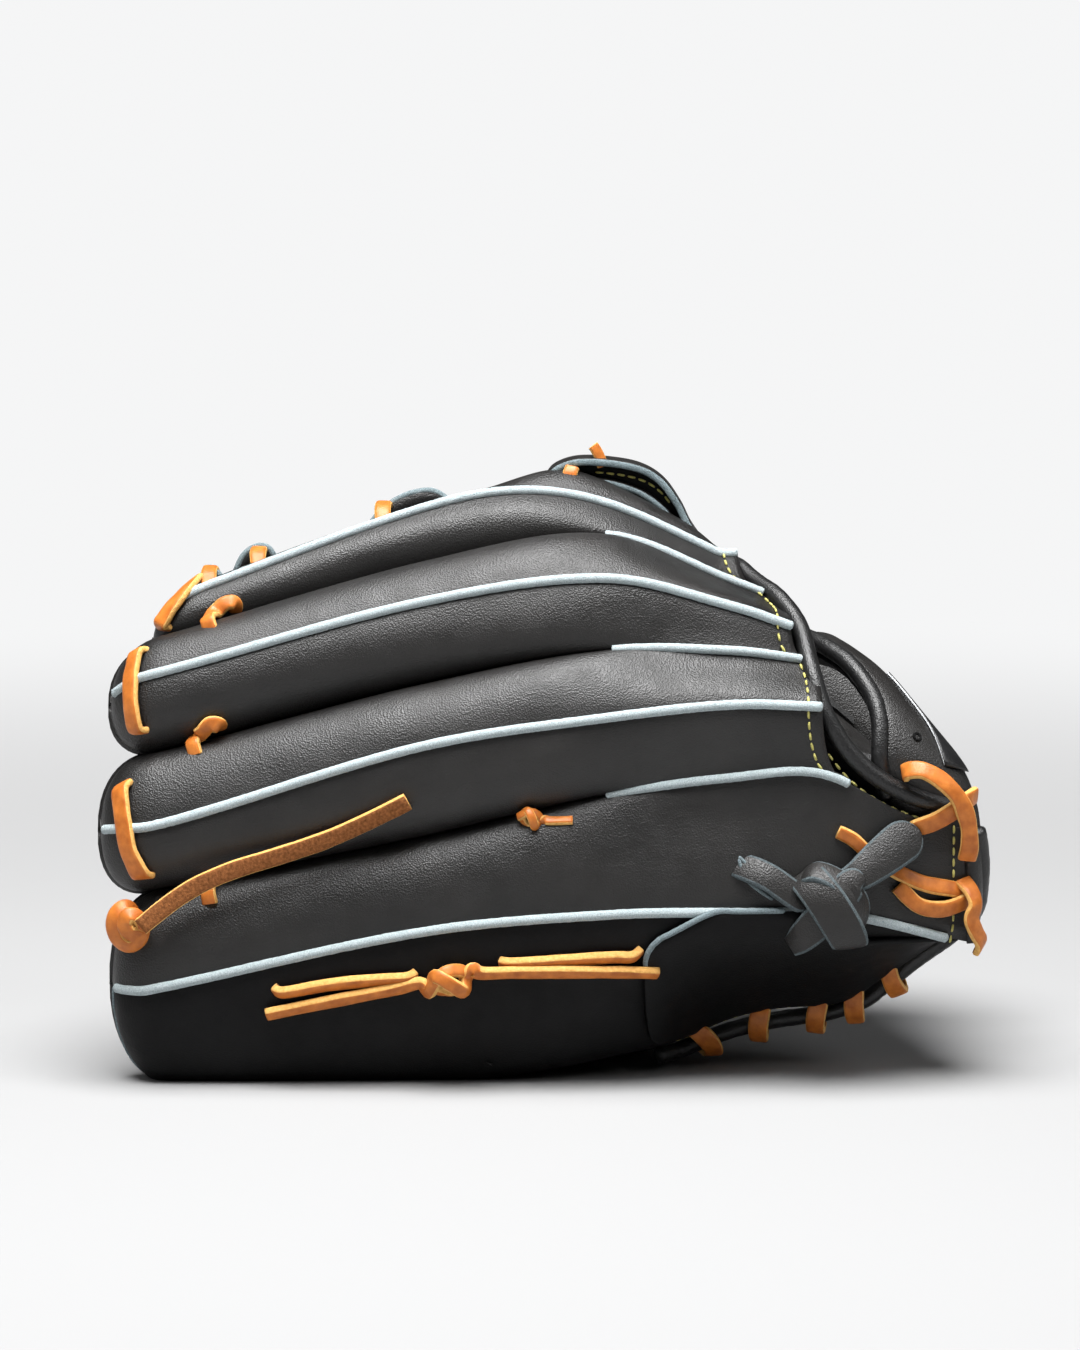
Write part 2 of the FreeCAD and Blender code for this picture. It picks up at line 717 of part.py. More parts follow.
# ---------------------------------------------------------------- finger loops inside
def inner_loop(label, centre, yaw, pitch):
    """A small leather strap inside the glove that holds a finger in place."""
    body = doc.addObject("PartDesign::Body", label)
    body.Label = label
    plane = [f for f in body.Origin.OriginFeatures if f.Role == "XY_Plane"][0]
    sketch = body.newObject("Sketcher::SketchObject", label + "_outline")
    sketch.AttachmentSupport = [(plane, "")]
    sketch.MapMode = "FlatFace"
    half_long = size("inner_loop_long") / 2
    half_wide = size("inner_loop_wide") / 2
    corners = [(-1, -1), (1, -1), (1, 1), (-1, 1)]
    spots = [Vec(a * half_long, b * half_wide, 0) for a, b in corners]
    for i in range(4):
        sketch.addGeometry(Part.LineSegment(spots[i], spots[(i + 1) % 4]), False)
    pad = body.newObject("PartDesign::Pad", label + "_pad")
    pad.Profile = sketch
    pad.setExpression("Length", "Sizes.inner_loop_thick")
    doc.recompute()
    rounding = body.newObject("PartDesign::Fillet", label + "_round")
    upright = [
        "Edge%d" % (i + 1)
        for i, edge in enumerate(pad.Shape.Edges)
        if abs(edge.tangentAt(edge.FirstParameter).z) > 0.9
    ]
    rounding.Base = (pad, upright)
    rounding.setExpression("Radius", "Sizes.inner_loop_corner")
    body.Tip = rounding
    doc.recompute()
    body.Placement = FreeCAD.Placement(centre + SHIFT, FreeCAD.Rotation(yaw, pitch, 90))
    pieces.append(body)


for cell, value in (("long", 34), ("wide", 13), ("thick", 1.8), ("corner", 4)):
    add_cell("inner_loop_" + cell, value)
doc.recompute()
inner_loop("pinky_inner_loop", Vec(55, 32, 48), 0, 0)
inner_loop("thumb_inner_loop", Vec(40, 134, 112), 0, 0)


# ---------------------------------------------------------------- free lace tail
TAIL_ROUTE = [
    Vec(-130.5, 2.5, 54), Vec(-119, 3.5, 64), Vec(-103, 3.8, 72), Vec(-84, 4.4, 77.5),
    Vec(-64, 4.2, 84.5), Vec(-44, 3.2, 95),
]


def cord(label, route, radius):
    """A cord: straight runs joined by tangent arcs as large as the runs allow."""
    edges = []
    start = route[0]
    for before, corner, after in zip(route, route[1:], route[2:]):
        way_in = (corner - before).normalize()
        way_out = (after - corner).normalize()
        turn = way_in.getAngle(way_out)
        shorter = min((corner - before).Length, (after - corner).Length)
        cut = 0.45 * shorter
        bend = cut / math.tan(turn / 2)
        first = corner - way_in * cut
        last = corner + way_out * cut
        towards = (way_out - way_in).normalize()
        middle = corner + towards * (bend / math.cos(turn / 2) - bend)
        edges.append(Part.LineSegment(start, first).toShape())
        edges.append(Part.Arc(first, middle, last).toShape())
        start = last
    edges.append(Part.LineSegment(start, route[-1]).toShape())
    path = Part.Wire(edges)
    circle = Part.Circle(route[0], (route[1] - route[0]).normalize(), radius)
    solid = path.makePipeShell([Part.Wire([circle.toShape()])], True, True)
    add_feature(label, solid)


cord("tail_lace", TAIL_ROUTE, LACE_R)


# ---------------------------------------------------------------- write the pieces
doc.recompute()
for obj in doc.Objects:
    if {"Invalid", "Error"} & set(obj.State):
        raise RuntimeError("%s failed to compute" % obj.Name)
os.makedirs("parts", exist_ok=True)
for piece in pieces:
    shape = piece.Shape
    if shape.isNull() or not shape.isValid():
        raise RuntimeError("%s is not a valid shape" % piece.Label)
    shape.exportStep("parts/%s.step" % piece.Label)
print(len(pieces), "pieces")
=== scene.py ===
import bpy
import math
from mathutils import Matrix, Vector, noise


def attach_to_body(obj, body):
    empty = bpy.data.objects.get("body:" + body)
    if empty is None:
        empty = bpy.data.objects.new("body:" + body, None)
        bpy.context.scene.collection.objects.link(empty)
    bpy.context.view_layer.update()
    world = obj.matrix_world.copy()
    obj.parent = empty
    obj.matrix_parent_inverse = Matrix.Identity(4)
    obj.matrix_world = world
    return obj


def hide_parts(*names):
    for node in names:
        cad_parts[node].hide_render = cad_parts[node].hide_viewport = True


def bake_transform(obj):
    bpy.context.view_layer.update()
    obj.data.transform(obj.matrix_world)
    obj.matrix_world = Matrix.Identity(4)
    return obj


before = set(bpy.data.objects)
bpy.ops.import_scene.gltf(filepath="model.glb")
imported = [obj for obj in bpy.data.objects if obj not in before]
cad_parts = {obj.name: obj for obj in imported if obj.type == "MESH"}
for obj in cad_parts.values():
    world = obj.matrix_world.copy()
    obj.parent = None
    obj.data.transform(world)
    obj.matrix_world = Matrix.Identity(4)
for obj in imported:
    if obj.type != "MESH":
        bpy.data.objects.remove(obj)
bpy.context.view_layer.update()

# ---------------------------------------------------------------- frame and units
# Places are given in millimetres on the same lines as the CAD model, before its shift
# to the middle of the bounding box, and turned into metres by place().
SHIFT = Vector((-0.3, -71.85, 0.0))
MM = 0.001


def place(point):
    """A point in the lines' millimetres as a point of the shared frame in metres."""
    return (Vector(point) + SHIFT) * MM


# ---------------------------------------------------------------- camera
VIEW_SCALE = 439.0          # height of the picture at the glove's front, mm
CAMERA_FAR = 2200.0
CAMERA_TILT = math.radians(8.0)
AIM = Vector((-1.3, 25.0, 133.2))


def add_camera():
    """A long lens from the back-of-hand side, slightly above."""
    data = bpy.data.cameras.new("camera")
    data.sensor_fit = "VERTICAL"
    data.sensor_height = 36.0
    data.lens = 36.0 * CAMERA_FAR / VIEW_SCALE
    data.clip_end = 100.0
    camera = bpy.data.objects.new("camera", data)
    bpy.context.scene.collection.objects.link(camera)
    away = Vector((0, -math.cos(CAMERA_TILT), math.sin(CAMERA_TILT)))
    camera.location = place(AIM + away * CAMERA_FAR)
    camera.rotation_euler = (math.pi / 2 - CAMERA_TILT, 0, 0)
    bpy.context.scene.camera = camera


add_camera()


# ---------------------------------------------------------------- materials
def new_material(name, color, roughness):
    """A principled material and its shader node."""
    material = bpy.data.materials.new(name)
    material.use_nodes = True
    shader = material.node_tree.nodes["Principled BSDF"]
    shader.inputs["Base Color"].default_value = (*color, 1)
    shader.inputs["Roughness"].default_value = roughness
    return material, shader


def add_node(tree, kind, values=(), wires=()):
    """A new node with its input values set and its inputs wired."""
    node = tree.nodes.new(kind)
    for name, value in values:
        node.inputs[name].default_value = value
    for name, socket in wires:
        tree.links.new(socket, node.inputs[name])
    return node


def noise_node(material, scale, detail):
    """A noise texture in the object's own metres."""
    tree = material.node_tree
    where = add_node(tree, "ShaderNodeTexCoord").outputs["Object"]
    values = (("Scale", scale), ("Detail", detail))
    return add_node(tree, "ShaderNodeTexNoise", values, (("Vector", where),)).outputs["Fac"]


def cell_node(material, scale):
    """Rounded cells, for pebble grain."""
    tree = material.node_tree
    where = add_node(tree, "ShaderNodeTexCoord").outputs["Object"]
    cells = add_node(tree, "ShaderNodeTexVoronoi", (("Scale", scale),), (("Vector", where),))
    return cells.outputs["Distance"]


def add_bump(material, shader, heights):
    """Bump from several heights: (socket, strength, distance in metres)."""
    tree = material.node_tree
    wires = []
    for socket, strength, distance in heights:
        values = (("Strength", strength), ("Distance", distance))
        bump = add_node(tree, "ShaderNodeBump", values, [("Height", socket)] + wires)
        wires = [("Normal", bump.outputs["Normal"])]
    tree.links.new(wires[0][1], shader.inputs["Normal"])


def vary_color(material, shader, socket, dark, light, low=0.3, high=0.7):
    """Drives the base colour from a texture, between two colours."""
    ramp = add_node(material.node_tree, "ShaderNodeValToRGB", (), (("Fac", socket),))
    for stop, position, color in zip(ramp.color_ramp.elements, (low, high), (dark, light)):
        stop.position = position
        stop.color = (*color, 1)
    material.node_tree.links.new(ramp.outputs["Color"], shader.inputs["Base Color"])


def span_node(tree, socket, from_low, from_high, low, high):
    """Maps a value from one range to another."""
    values = (("From Min", from_low), ("From Max", from_high), ("To Min", low), ("To Max", high))
    return add_node(tree, "ShaderNodeMapRange", values, (("Value", socket),))


def vary_roughness(material, shader, socket, low, high):
    """Drives the roughness from a texture, between two values."""
    span = span_node(material.node_tree, socket, 0.3, 0.7, low, high)
    material.node_tree.links.new(span.outputs["Result"], shader.inputs["Roughness"])


def leather_material(name, dark, light, roughness, grain=1.0, shine=0.52):
    """Smooth black glove leather: fine grain, faint creases, soft sheen."""
    material, shader = new_material(name, dark, roughness)
    shader.inputs["Specular IOR Level"].default_value = shine
    vary_color(material, shader, noise_node(material, 38, 4), dark, light)
    vary_roughness(
        material, shader, noise_node(material, 120, 3), roughness - 0.05, roughness + 0.07
    )
    heights = [
        (noise_node(material, 60, 3), 0.12 * grain, 0.0012),
        (noise_node(material, 700, 3), 0.14 * grain, 0.0003),
        (cell_node(material, 1750), 0.5 * grain, 0.0003),
    ]
    add_bump(material, shader, heights)
    return material


def fuzzy_material(name, dark, light, roughness, scale):
    """Raw suede or rawhide: short fuzz and blotches."""
    material, shader = new_material(name, dark, roughness)
    shader.inputs["Specular IOR Level"].default_value = 0.2
    vary_color(material, shader, noise_node(material, scale, 4), dark, light, 0.25, 0.75)
    add_bump(material, shader, [(noise_node(material, scale * 1.4, 4), 0.7, 0.0004)])
    return material


def lace_material(name, dark, light, roughness):
    """Orange rawhide with a waxy face and a lighter mottle."""
    material, shader = new_material(name, dark, roughness)
    shader.inputs["Specular IOR Level"].default_value = 0.35
    vary_color(material, shader, noise_node(material, 260, 5), dark, light, 0.3, 0.72)
    vary_roughness(
        material, shader, noise_node(material, 300, 2), roughness - 0.08, roughness + 0.1
    )
    heights = [
        (noise_node(material, 700, 3), 0.3, 0.0003), (cell_node(material, 1700), 0.12, 0.0002),
    ]
    add_bump(material, shader, heights)
    return material


LEATHER = leather_material(
    "leather_black", (0.0056, 0.0051, 0.0048), (0.0118, 0.0107, 0.0100), 0.44
)
# A darker, duller copy of the glove leather with less shine: painted shade for the downward-facing
# lower panels, the heel flap and the back of the web loop.
LEATHER_PAINTED_SHADE = leather_material(
    "leather_painted_shade", (0.0022, 0.0022, 0.0024), (0.0042, 0.0042, 0.0045), 0.55, 0.7, 0.16
)
BINDING = leather_material(
    "binding_black", (0.005, 0.005, 0.0052), (0.009, 0.009, 0.0092), 0.4, 0.8
)
WELT = fuzzy_material("welt_suede", (0.22, 0.28, 0.295), (0.56, 0.62, 0.635), 0.9, 2600)
EDGE_DIM = fuzzy_material("cut_edge_dim", (0.04, 0.05, 0.055), (0.13, 0.16, 0.17), 0.9, 2200)
EDGE_PALE = fuzzy_material("cut_edge_pale", (0.09, 0.12, 0.13), (0.26, 0.32, 0.34), 0.9, 2200)
LACE = lace_material("lace_tan", (0.40, 0.105, 0.014), (0.64, 0.205, 0.034), 0.40)
LACE_EDGE = fuzzy_material("lace_cut_edge", (0.58, 0.29, 0.07), (0.80, 0.47, 0.15), 0.7, 900)
LACE_SUEDE = fuzzy_material(
    "lace_flesh_side", (0.12, 0.040, 0.012), (0.36, 0.135, 0.042), 0.9, 1100
)
THREAD = fuzzy_material("thread_yellow", (0.42, 0.38, 0.10), (0.66, 0.61, 0.21), 0.6, 2500)
LINING = leather_material("lining_dark", (0.004, 0.004, 0.0042), (0.008, 0.008, 0.0085), 0.6, 0.7)
FELT = fuzzy_material("felt_wool", (0.018, 0.018, 0.018), (0.05, 0.05, 0.05), 0.95, 1200)
STIFFENER = fuzzy_material("stiffener_sheet", (0.05, 0.05, 0.05), (0.08, 0.08, 0.08), 0.5, 500)
PATCH = leather_material("patch_black", (0.005, 0.005, 0.0055), (0.008, 0.008, 0.0085), 0.42, 0.5)
PATCH_EDGE = fuzzy_material("patch_edge_white", (0.50, 0.52, 0.54), (0.68, 0.70, 0.72), 0.6, 1500)
# Near-black fuzz for the lace hole's ring: painted shade inside a hole that is not cut.
HOLE_PAINTED_SHADE = fuzzy_material("hole_painted_shade", (0.001, 0.001, 0.001), (0.003, 0.003, 0.003), 0.9, 800)


# ---------------------------------------------------------------- lines along the hand
LINES = {
    "pinky_crest": [
        (-142, 11, 30), (-125, 8, 33), (-40, 3, 52), (20, 2, 58), (62, 4, 58.5), (98, 8, 57),
        (138, 20, 46),
    ],
    "ring_crest": [
        (-145, 13, 84), (-125, 10, 86.4), (-40, 6, 112.3), (20, 5, 122), (62, 7, 126), (90, 9, 125),
    ],
    "middle_crest": [
        (-142, 27, 130), (-125, 24, 134), (-40, 28, 156.5), (20, 27, 164.5), (62, 28, 155),
        (82, 30, 148),
    ],
    "index_crest": [
        (-129, 48, 151), (-110, 51, 159), (-40, 60, 183.4), (-9, 62, 189), (20, 62, 185),
        (58, 64, 168),
    ],
    "thumb_crest": [
        (-90, 140, 119), (-70, 145, 117), (-20, 150, 114), (30, 151, 110), (80, 147, 105),
        (132, 134, 82),
    ],
    "pinky_floor": [
        (-142, 27, 4), (-125, 29, -2), (-40, 31, -2), (-15, 31, -1), (34, 31, 8.5), (47, 44, 9.5),
        (62, 46, 15.5), (78, 46, 19), (98, 46, 21), (112, 46, 30), (126, 45, 40), (138, 42, 49),
    ],
    "ring_pinky": [
        (-145, 21, 60), (-125, 21, 63.4), (-40, 17, 81.2), (20, 12.5, 95.8), (62, 10.5, 102),
        (90, 11, 103), (118, 15, 89), (138, 20, 83),
    ],
    "middle_ring": [
        (-145, 30, 104), (-125, 29, 107.6), (-40, 29, 129.5), (20, 23, 141.5), (62, 22, 141.5),
        (90, 28, 137),
    ],
    "index_middle": [
        (-142, 44, 138), (-125, 45, 142), (-40, 53, 165), (20, 51.5, 175.5), (62, 50, 160.5),
        (80, 52, 153),
    ],
    "index_web": [
        (-129, 62, 140), (-110, 70, 150), (-40, 84, 171), (-9, 86, 176), (20, 86, 175),
        (58, 88, 161),
    ],
    "thumb_near": [
        (-90, 127, 129), (-70, 129, 135), (-20, 131, 144), (30, 131, 142), (80, 126, 133),
        (100, 121, 122), (132, 112, 93),
    ],
    "thumb_far": [
        (-90, 130, 106), (-70, 131, 98), (-20, 134, 88), (30, 134, 83), (80, 131, 79),
        (132, 120, 70),
    ],
    "palm_foot": [(9, 60, 0), (30, 70, 0), (45, 69, 5), (75, 66, 24), (110, 62, 42), (138, 58, 56)],
    "palm_rise": [
        (9, 72, 12), (30, 80, 12), (45, 79, 20), (75, 74, 40), (110, 68, 54), (138, 64, 63),
    ],
    "palm_mid": [(9, 57, 66), (45, 63, 66), (75, 70, 68), (110, 72, 70), (138, 72, 73)],
    "palm_high": [(9, 72, 106), (45, 75, 99), (75, 78, 93), (110, 80, 86), (138, 80, 81)],
}
# Each stall: its crest, upper and lower lines, turn at tip and wrist in degrees, and the
# x of its tip and of its end.
STALLS = {
    "pinky": ("pinky_crest", "ring_pinky", "pinky_floor", 0, 0, -141, 34),
    "ring": ("ring_crest", "middle_ring", "ring_pinky", 13, 13, -144.5, 82),
    "middle": ("middle_crest", "index_middle", "middle_ring", 32, 32, -141.5, 72),
    "index": ("index_crest", "index_web", "index_middle", 62, 74, -128.5, 54),
    "thumb": ("thumb_crest", "thumb_far", "thumb_near", 172, 160, -89.5, 131),
}
# Where each line of the back meets the rolled binding of the hand opening.
LINE_ENDS = {
    "pinky_crest": 129, "ring_crest": 90, "middle_crest": 80.5, "index_crest": 64,
    "thumb_crest": 133,
    "pinky_floor": 138, "ring_pinky": 97, "middle_ring": 85.5, "index_middle": 71, "index_web": 60,
    "thumb_near": 133, "thumb_far": 133,
}
TIP_X, END_X = 5, 6          # their places in a stall's row
TIP_ROUND = 17.0
FRONT_DEPTH = 10.0
PALM_START = 9.0
SPINE_HEEL = Vector((138, 88, 88))
SPINE_TIP = Vector((-110, 106, 152))


def smooth(stations, x, column):
    """Cubic Hermite value of a column of the stations at x, held at both ends."""
    xs = [s[0] for s in stations]
    ys = [s[column] for s in stations]
    x = min(max(x, xs[0]), xs[-1])
    k = max(i for i in range(len(xs) - 1) if xs[i] <= x)
    slopes = []
    for i in (k, k + 1):
        a = max(i - 1, 0)
        b = min(i + 1, len(xs) - 1)
        slopes.append((ys[b] - ys[a]) / (xs[b] - xs[a]))
    step = xs[k + 1] - xs[k]
    t = (x - xs[k]) / step
    return (
        (1 + 2 * t) * (1 - t) ** 2 * ys[k]
        + t * (1 - t) ** 2 * step * slopes[0]
        + t * t * (3 - 2 * t) * ys[k + 1]
        + t * t * (t - 1) * step * slopes[1]
    )


def on_line(name, x):
    """The point of a line at x."""
    return Vector((x, smooth(LINES[name], x, 1), smooth(LINES[name], x, 2)))


def spine(x):
    """The straight fold line through the heel and the web."""
    t = (x - SPINE_HEEL.x) / (SPINE_TIP.x - SPINE_HEEL.x)
    return SPINE_HEEL.lerp(SPINE_TIP, t)


def ease(low, high, x):
    """A smooth step from 0 at low to 1 at high."""
    t = min(max((x - low) / (high - low), 0.0), 1.0)
    return t * t * (3 - 2 * t)


def spread(first, last, count):
    """Evenly spaced values, both ends included."""
    return [first + (last - first) * i / (count - 1) for i in range(count)]


class Section:
    """One stall cut across at x, as in the CAD model, but rounded shut at its tip."""

    def __init__(self, stall, x):
        crest, upper, lower, tip_turn, wrist_turn, tip, end = STALLS[stall]
        t = (x - tip) / (end - tip)
        turn = math.radians(tip_turn + (wrist_turn - tip_turn) * t)
        self.out = Vector((0, -math.cos(turn), math.sin(turn)))
        self.across = Vector((0, math.sin(turn), math.cos(turn)))
        self.crest = on_line(crest, x)
        self.edge = {1: on_line(upper, x), -1: on_line(lower, x)}
        round_part = max(0.0, min(1.0, (tip + TIP_ROUND - x) / TIP_ROUND))
        self.scale = max(0.0, 1 - round_part ** 2.4) ** (1 / 2.4)
        self.middle = (self.edge[1] + self.edge[-1]) * 0.5
        sink = 8.0 * max(0.0, min(1.0, (x + 30) / 50))
        self.core = self.middle - self.out * sink
        self.flat = 0.85 * ease(-5, 60, x) if stall != "thumb" else 0.0

    def finish(self, point, lift=0.0):
        """Rounds a point towards the tip, then lifts it away from the stall's core."""
        point = self.core + (point - self.core) * self.scale
        way = point - self.core
        if way.length < 1e-6:
            return point
        return point + way.normalized() * lift

    def back(self, side, phi, lift=0.0):
        """A point of the back face: phi 0 at the valley, 90 at the crest."""
        edge = self.edge[side]
        depth = (self.crest - edge).dot(self.out)
        width = (edge - self.crest).dot(self.across)
        centre = self.crest - self.out * depth
        angle = math.radians(phi)
        c = max(math.cos(angle), 0.0) ** 0.9
        s = max(math.sin(angle), 0.0) ** 0.9
        soft = 0.5 - 0.5 * math.cos(math.pi * (1 - c))
        s = s * (1 - self.flat) + soft * self.flat
        return self.finish(centre + self.across * (width * c) + self.out * (depth * s), lift)

    def front(self, psi):
        """A point of the palm-side face: psi 0 at the upper valley, 180 at the lower."""
        arm = (self.edge[1] - self.edge[-1]) * 0.5
        inward = Vector((0, -arm.z, arm.y)).normalized()
        if inward.dot(self.out) > 0:
            inward = -inward
        c = math.cos(math.radians(psi))
        s = math.sin(math.radians(psi)) ** 2
        return self.finish(self.middle + arm * c + inward * (FRONT_DEPTH * s))


def line_end(stall, side, phi):
    """Where a column of the back face ends at the binding."""
    if stall == "pinky" and side > 0:
        return 136 + 5 * math.sin(math.radians(phi)) ** 0.5
    crest_end = LINE_ENDS[STALLS[stall][0]]
    edge_end = LINE_ENDS[STALLS[stall][1 if side > 0 else 2]]
    if stall == "pinky":
        crest_end = 141
    return edge_end + (crest_end - edge_end) * math.sin(math.radians(phi))


def surface(stall, side, x, phi, lift=0.0):
    """A point of a stall's back and the outward normal there."""
    here, before, after = Section(stall, x), Section(stall, x - 1), Section(stall, x + 1)
    point = here.back(side, phi, lift)
    along = after.back(side, phi, lift) - before.back(side, phi, lift)
    over = here.back(side, min(phi + 3, 90), lift) - here.back(side, max(phi - 3, 0), lift)
    normal = along.cross(over).normalized()
    if normal.dot(point - here.core) < 0:
        normal = -normal
    return point, normal


# ---------------------------------------------------------------- mesh helpers
def add_mesh(name, vertices, faces, materials, face_materials=None):
    """A mesh object from millimetre points."""
    mesh = bpy.data.meshes.new(name)
    mesh.from_pydata([place(v) for v in vertices], [], faces)
    for material in materials:
        mesh.materials.append(material)
    if face_materials:
        mesh.polygons.foreach_set("material_index", face_materials)
    mesh.polygons.foreach_set("use_smooth", [True] * len(mesh.polygons))
    mesh.validate()
    mesh.update()
    thing = bpy.data.objects.new(name, mesh)
    bpy.context.scene.collection.objects.link(thing)
    return thing


def grid(rows, closed=False):
    """Vertices and faces of a grid of rows; closed joins each row's end to its start."""
    vertices = [p for row in rows for p in row]
    count = len(rows[0])
    faces = []
    for r in range(len(rows) - 1):
        for c in range(count if closed else count - 1):
            d = (c + 1) % count
            faces.append((r * count + c, r * count + d, (r + 1) * count + d, (r + 1) * count + c))
    return vertices, faces


def thicken(piece, thick, offset):
    """Gives a sheet its thickness: offset 0 about the middle, -1 inwards."""
    solid = piece.modifiers.new("thickness", "SOLIDIFY")
    solid.thickness = thick * MM
    solid.offset = offset


def sheet_piece(name, rows, material, thick):
    """A curved sheet of leather through a grid of rows."""
    vertices, faces = grid(rows)
    piece = add_mesh(name, vertices, faces, [material])
    thicken(piece, thick, 0.0)
    return piece


def catmull(points, steps):
    """A smooth path through a few points, evenly sampled between them."""
    points = [Vector(p) for p in points]
    path = []
    for i in range(len(points) - 1):
        p0 = points[max(i - 1, 0)]
        p1, p2 = points[i], points[i + 1]
        p3 = points[min(i + 2, len(points) - 1)]
        for k in range(steps):
            t = k / steps
            path.append(
                0.5 * (
                    2 * p1 + (p2 - p0) * t
                    + (2 * p0 - 5 * p1 + 4 * p2 - p3) * t ** 2
                    + (3 * p1 - p0 - 3 * p2 + p3) * t ** 3
                )
            )
    path.append(points[-1])
    return path


def evenly(path, pitch):
    """The path resampled at an even pitch, with the direction at each point."""
    lengths = [0.0]
    for a, b in zip(path, path[1:]):
        lengths.append(lengths[-1] + (b - a).length)
    count = max(int(lengths[-1] / pitch), 1)
    found = []
    k = 0
    for i in range(count + 1):
        goal = lengths[-1] * i / count
        while k < len(path) - 2 and lengths[k + 1] < goal:
            k += 1
        span = max(lengths[k + 1] - lengths[k], 1e-9)
        t = (goal - lengths[k]) / span
        found.append((path[k].lerp(path[k + 1], t), (path[k + 1] - path[k]).normalized()))
    return found


def attach(piece, body, nodes=()):
    """Sets what a piece moves with and hides the CAD parts it stands for."""
    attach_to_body(piece, body)
    if nodes:
        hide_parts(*nodes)


def run_at(path, i):
    """The way from the point before to the point after."""
    return path[min(i + 1, len(path) - 1)] - path[max(i - 1, 0)]


def squared(way, along):
    """The part of a direction at right angles to another, at unit length."""
    return (way - along * way.dot(along)).normalized()


def close_ends(faces, rows):
    """Adds a cap over the first and the last of a grid's closed rows."""
    count = len(rows[0])
    faces.append(tuple(range(count - 1, -1, -1)))
    faces.append(tuple((len(rows) - 1) * count + k for k in range(count)))


def gather(vertices, faces, more_vertices, more_faces):
    """Adds one mesh's vertices and faces to another's."""
    base = len(vertices)
    vertices.extend(more_vertices)
    faces.extend(tuple(i + base for i in face) for face in more_faces)


def tube_piece(name, points, radius, material, steps, sides, fuzz):
    """A round cord or rolled edge along a smooth path, with rounded ends."""
    path = catmull(points, steps)
    rows = []
    side = None
    for i, point in enumerate(path):
        along = run_at(path, i).normalized()
        if side is None:
            side = along.orthogonal().normalized()
        side = squared(side, along)
        other = along.cross(side)
        size = radius
        if i == 0 or i == len(path) - 1:
            size = radius * 0.55
        row = []
        for k in range(sides):
            a = 2 * math.pi * k / sides
            rough = 1 + fuzz * noise.noise(point * 0.9 + Vector((k, 0, 0)))
            row.append(point + (side * math.cos(a) + other * math.sin(a)) * size * rough)
        rows.append(row)
    vertices, faces = grid(rows, True)
    first = len(vertices)
    vertices += [path[0], path[-1]]
    last_row = (len(rows) - 1) * sides
    for k in range(sides):
        n = (k + 1) % sides
        faces.append((first, n, k))
        faces.append((first + 1, last_row + k, last_row + n))
    return add_mesh(name, vertices, faces, [material])


LACE_SIDES = (LACE, LACE_EDGE, LACE_SUEDE)
LACE_WIDTH = 6.0
LACE_THICK = 2.2


def ribbon_mesh(points, normals, width, thick, steps, wave):
    """Vertices, faces and face materials of a flat lace: face 0, cut edges 1, back 2."""
    path = catmull(points, steps)
    ups = catmull(normals, steps)
    rows = []
    for i, point in enumerate(path):
        along = run_at(path, i).normalized()
        up = squared(ups[i], along)
        side = along.cross(up)
        shake = 1 + wave * noise.noise(point * 0.12)
        w = width * 0.5 * shake
        h = thick * 0.5
        r = min(h * 0.75, 0.8)
        spots = [
            (-w, -h + r), (-w, h - r), (-w + r * 0.35, h - r * 0.3), (-w + r, h),
            (-w * 0.4, h * 1.06), (w * 0.4, h * 1.06),
            (w - r, h), (w - r * 0.35, h - r * 0.3), (w, h - r), (w, -h + r),
            (w - r * 0.35, -h + r * 0.3), (w - r, -h),
            (w * 0.4, -h * 1.02), (-w * 0.4, -h * 1.02), (-w + r, -h),
            (-w + r * 0.35, -h + r * 0.3),
        ]
        rows.append([point + side * a + up * b for a, b in spots])
    vertices, faces = grid(rows, True)
    kinds = []
    for _ in range(len(rows) - 1):
        kinds += [1, 1, 0, 0, 0, 0, 0, 1, 1, 1, 2, 2, 2, 2, 2, 1]
    close_ends(faces, rows)
    kinds += [1, 1]
    return vertices, faces, kinds


def ribbon_piece(
    name, strips, width=LACE_WIDTH, thick=LACE_THICK, steps=8, wave=0.12, materials=LACE_SIDES
):
    """One lace made of several strips: each a list of points and their facing directions."""
    vertices, faces, kinds = [], [], []
    for strip in strips:
        points, normals = strip[0], strip[1]
        wide = strip[2] if len(strip) > 2 else width
        v, f, k = ribbon_mesh(points, [Vector(n) for n in normals], wide, thick, steps, wave)
        gather(vertices, faces, v, f)
        kinds += k
    return add_mesh(name, vertices, faces, materials, kinds)


STITCH_PITCH = 3.6
STITCH_LONG = 2.7
THREAD_RADIUS = 0.42


def stitch_piece(name, runs):
    """Rows of raised thread stitches: each run is a path and the way it faces."""
    vertices, faces = [], []
    for path, face_way in runs:
        for spot, along in evenly(path, STITCH_PITCH):
            up = squared(Vector(face_way), along)
            side = along.cross(up)
            rings = []
            for t, size in ((-1, 0.25), (-0.8, 0.8), (-0.3, 1), (0.3, 1), (0.8, 0.8), (1, 0.25)):
                centre = spot + along * (t * STITCH_LONG / 2) + up * (
                    THREAD_RADIUS * (0.5 - 0.7 * t * t)
                )
                ring = []
                for k in range(6):
                    a = math.pi * k / 3
                    ring.append(
                        centre + (side * math.cos(a) + up * math.sin(a)) * THREAD_RADIUS * size
                    )
                rings.append(ring)
            v, f = grid(rings, True)
            gather(vertices, faces, v, f)
    return add_mesh(name, vertices, faces, [THREAD])


# ---------------------------------------------------------------- finger stalls
BACK_PHIS = [90 * (i / 15) for i in range(16)]
FRONT_PSIS = [180.0 * i / 10 for i in range(11)]
SKIN_THICK = 2.4
TIP_STATIONS = 12
TIP_LENGTH = 16


def wrinkle(point):
    """Soft hollows and creases of worn leather, in mm."""
    p = Vector((point.x * 0.016, point.y * 0.03, point.z * 0.03))
    broad = noise.noise(p)
    fine = noise.noise(Vector((point.x * 0.05, point.y * 0.04, point.z * 0.07)) + Vector((5, 2, 1)))
    return 0.8 * broad + 0.22 * fine


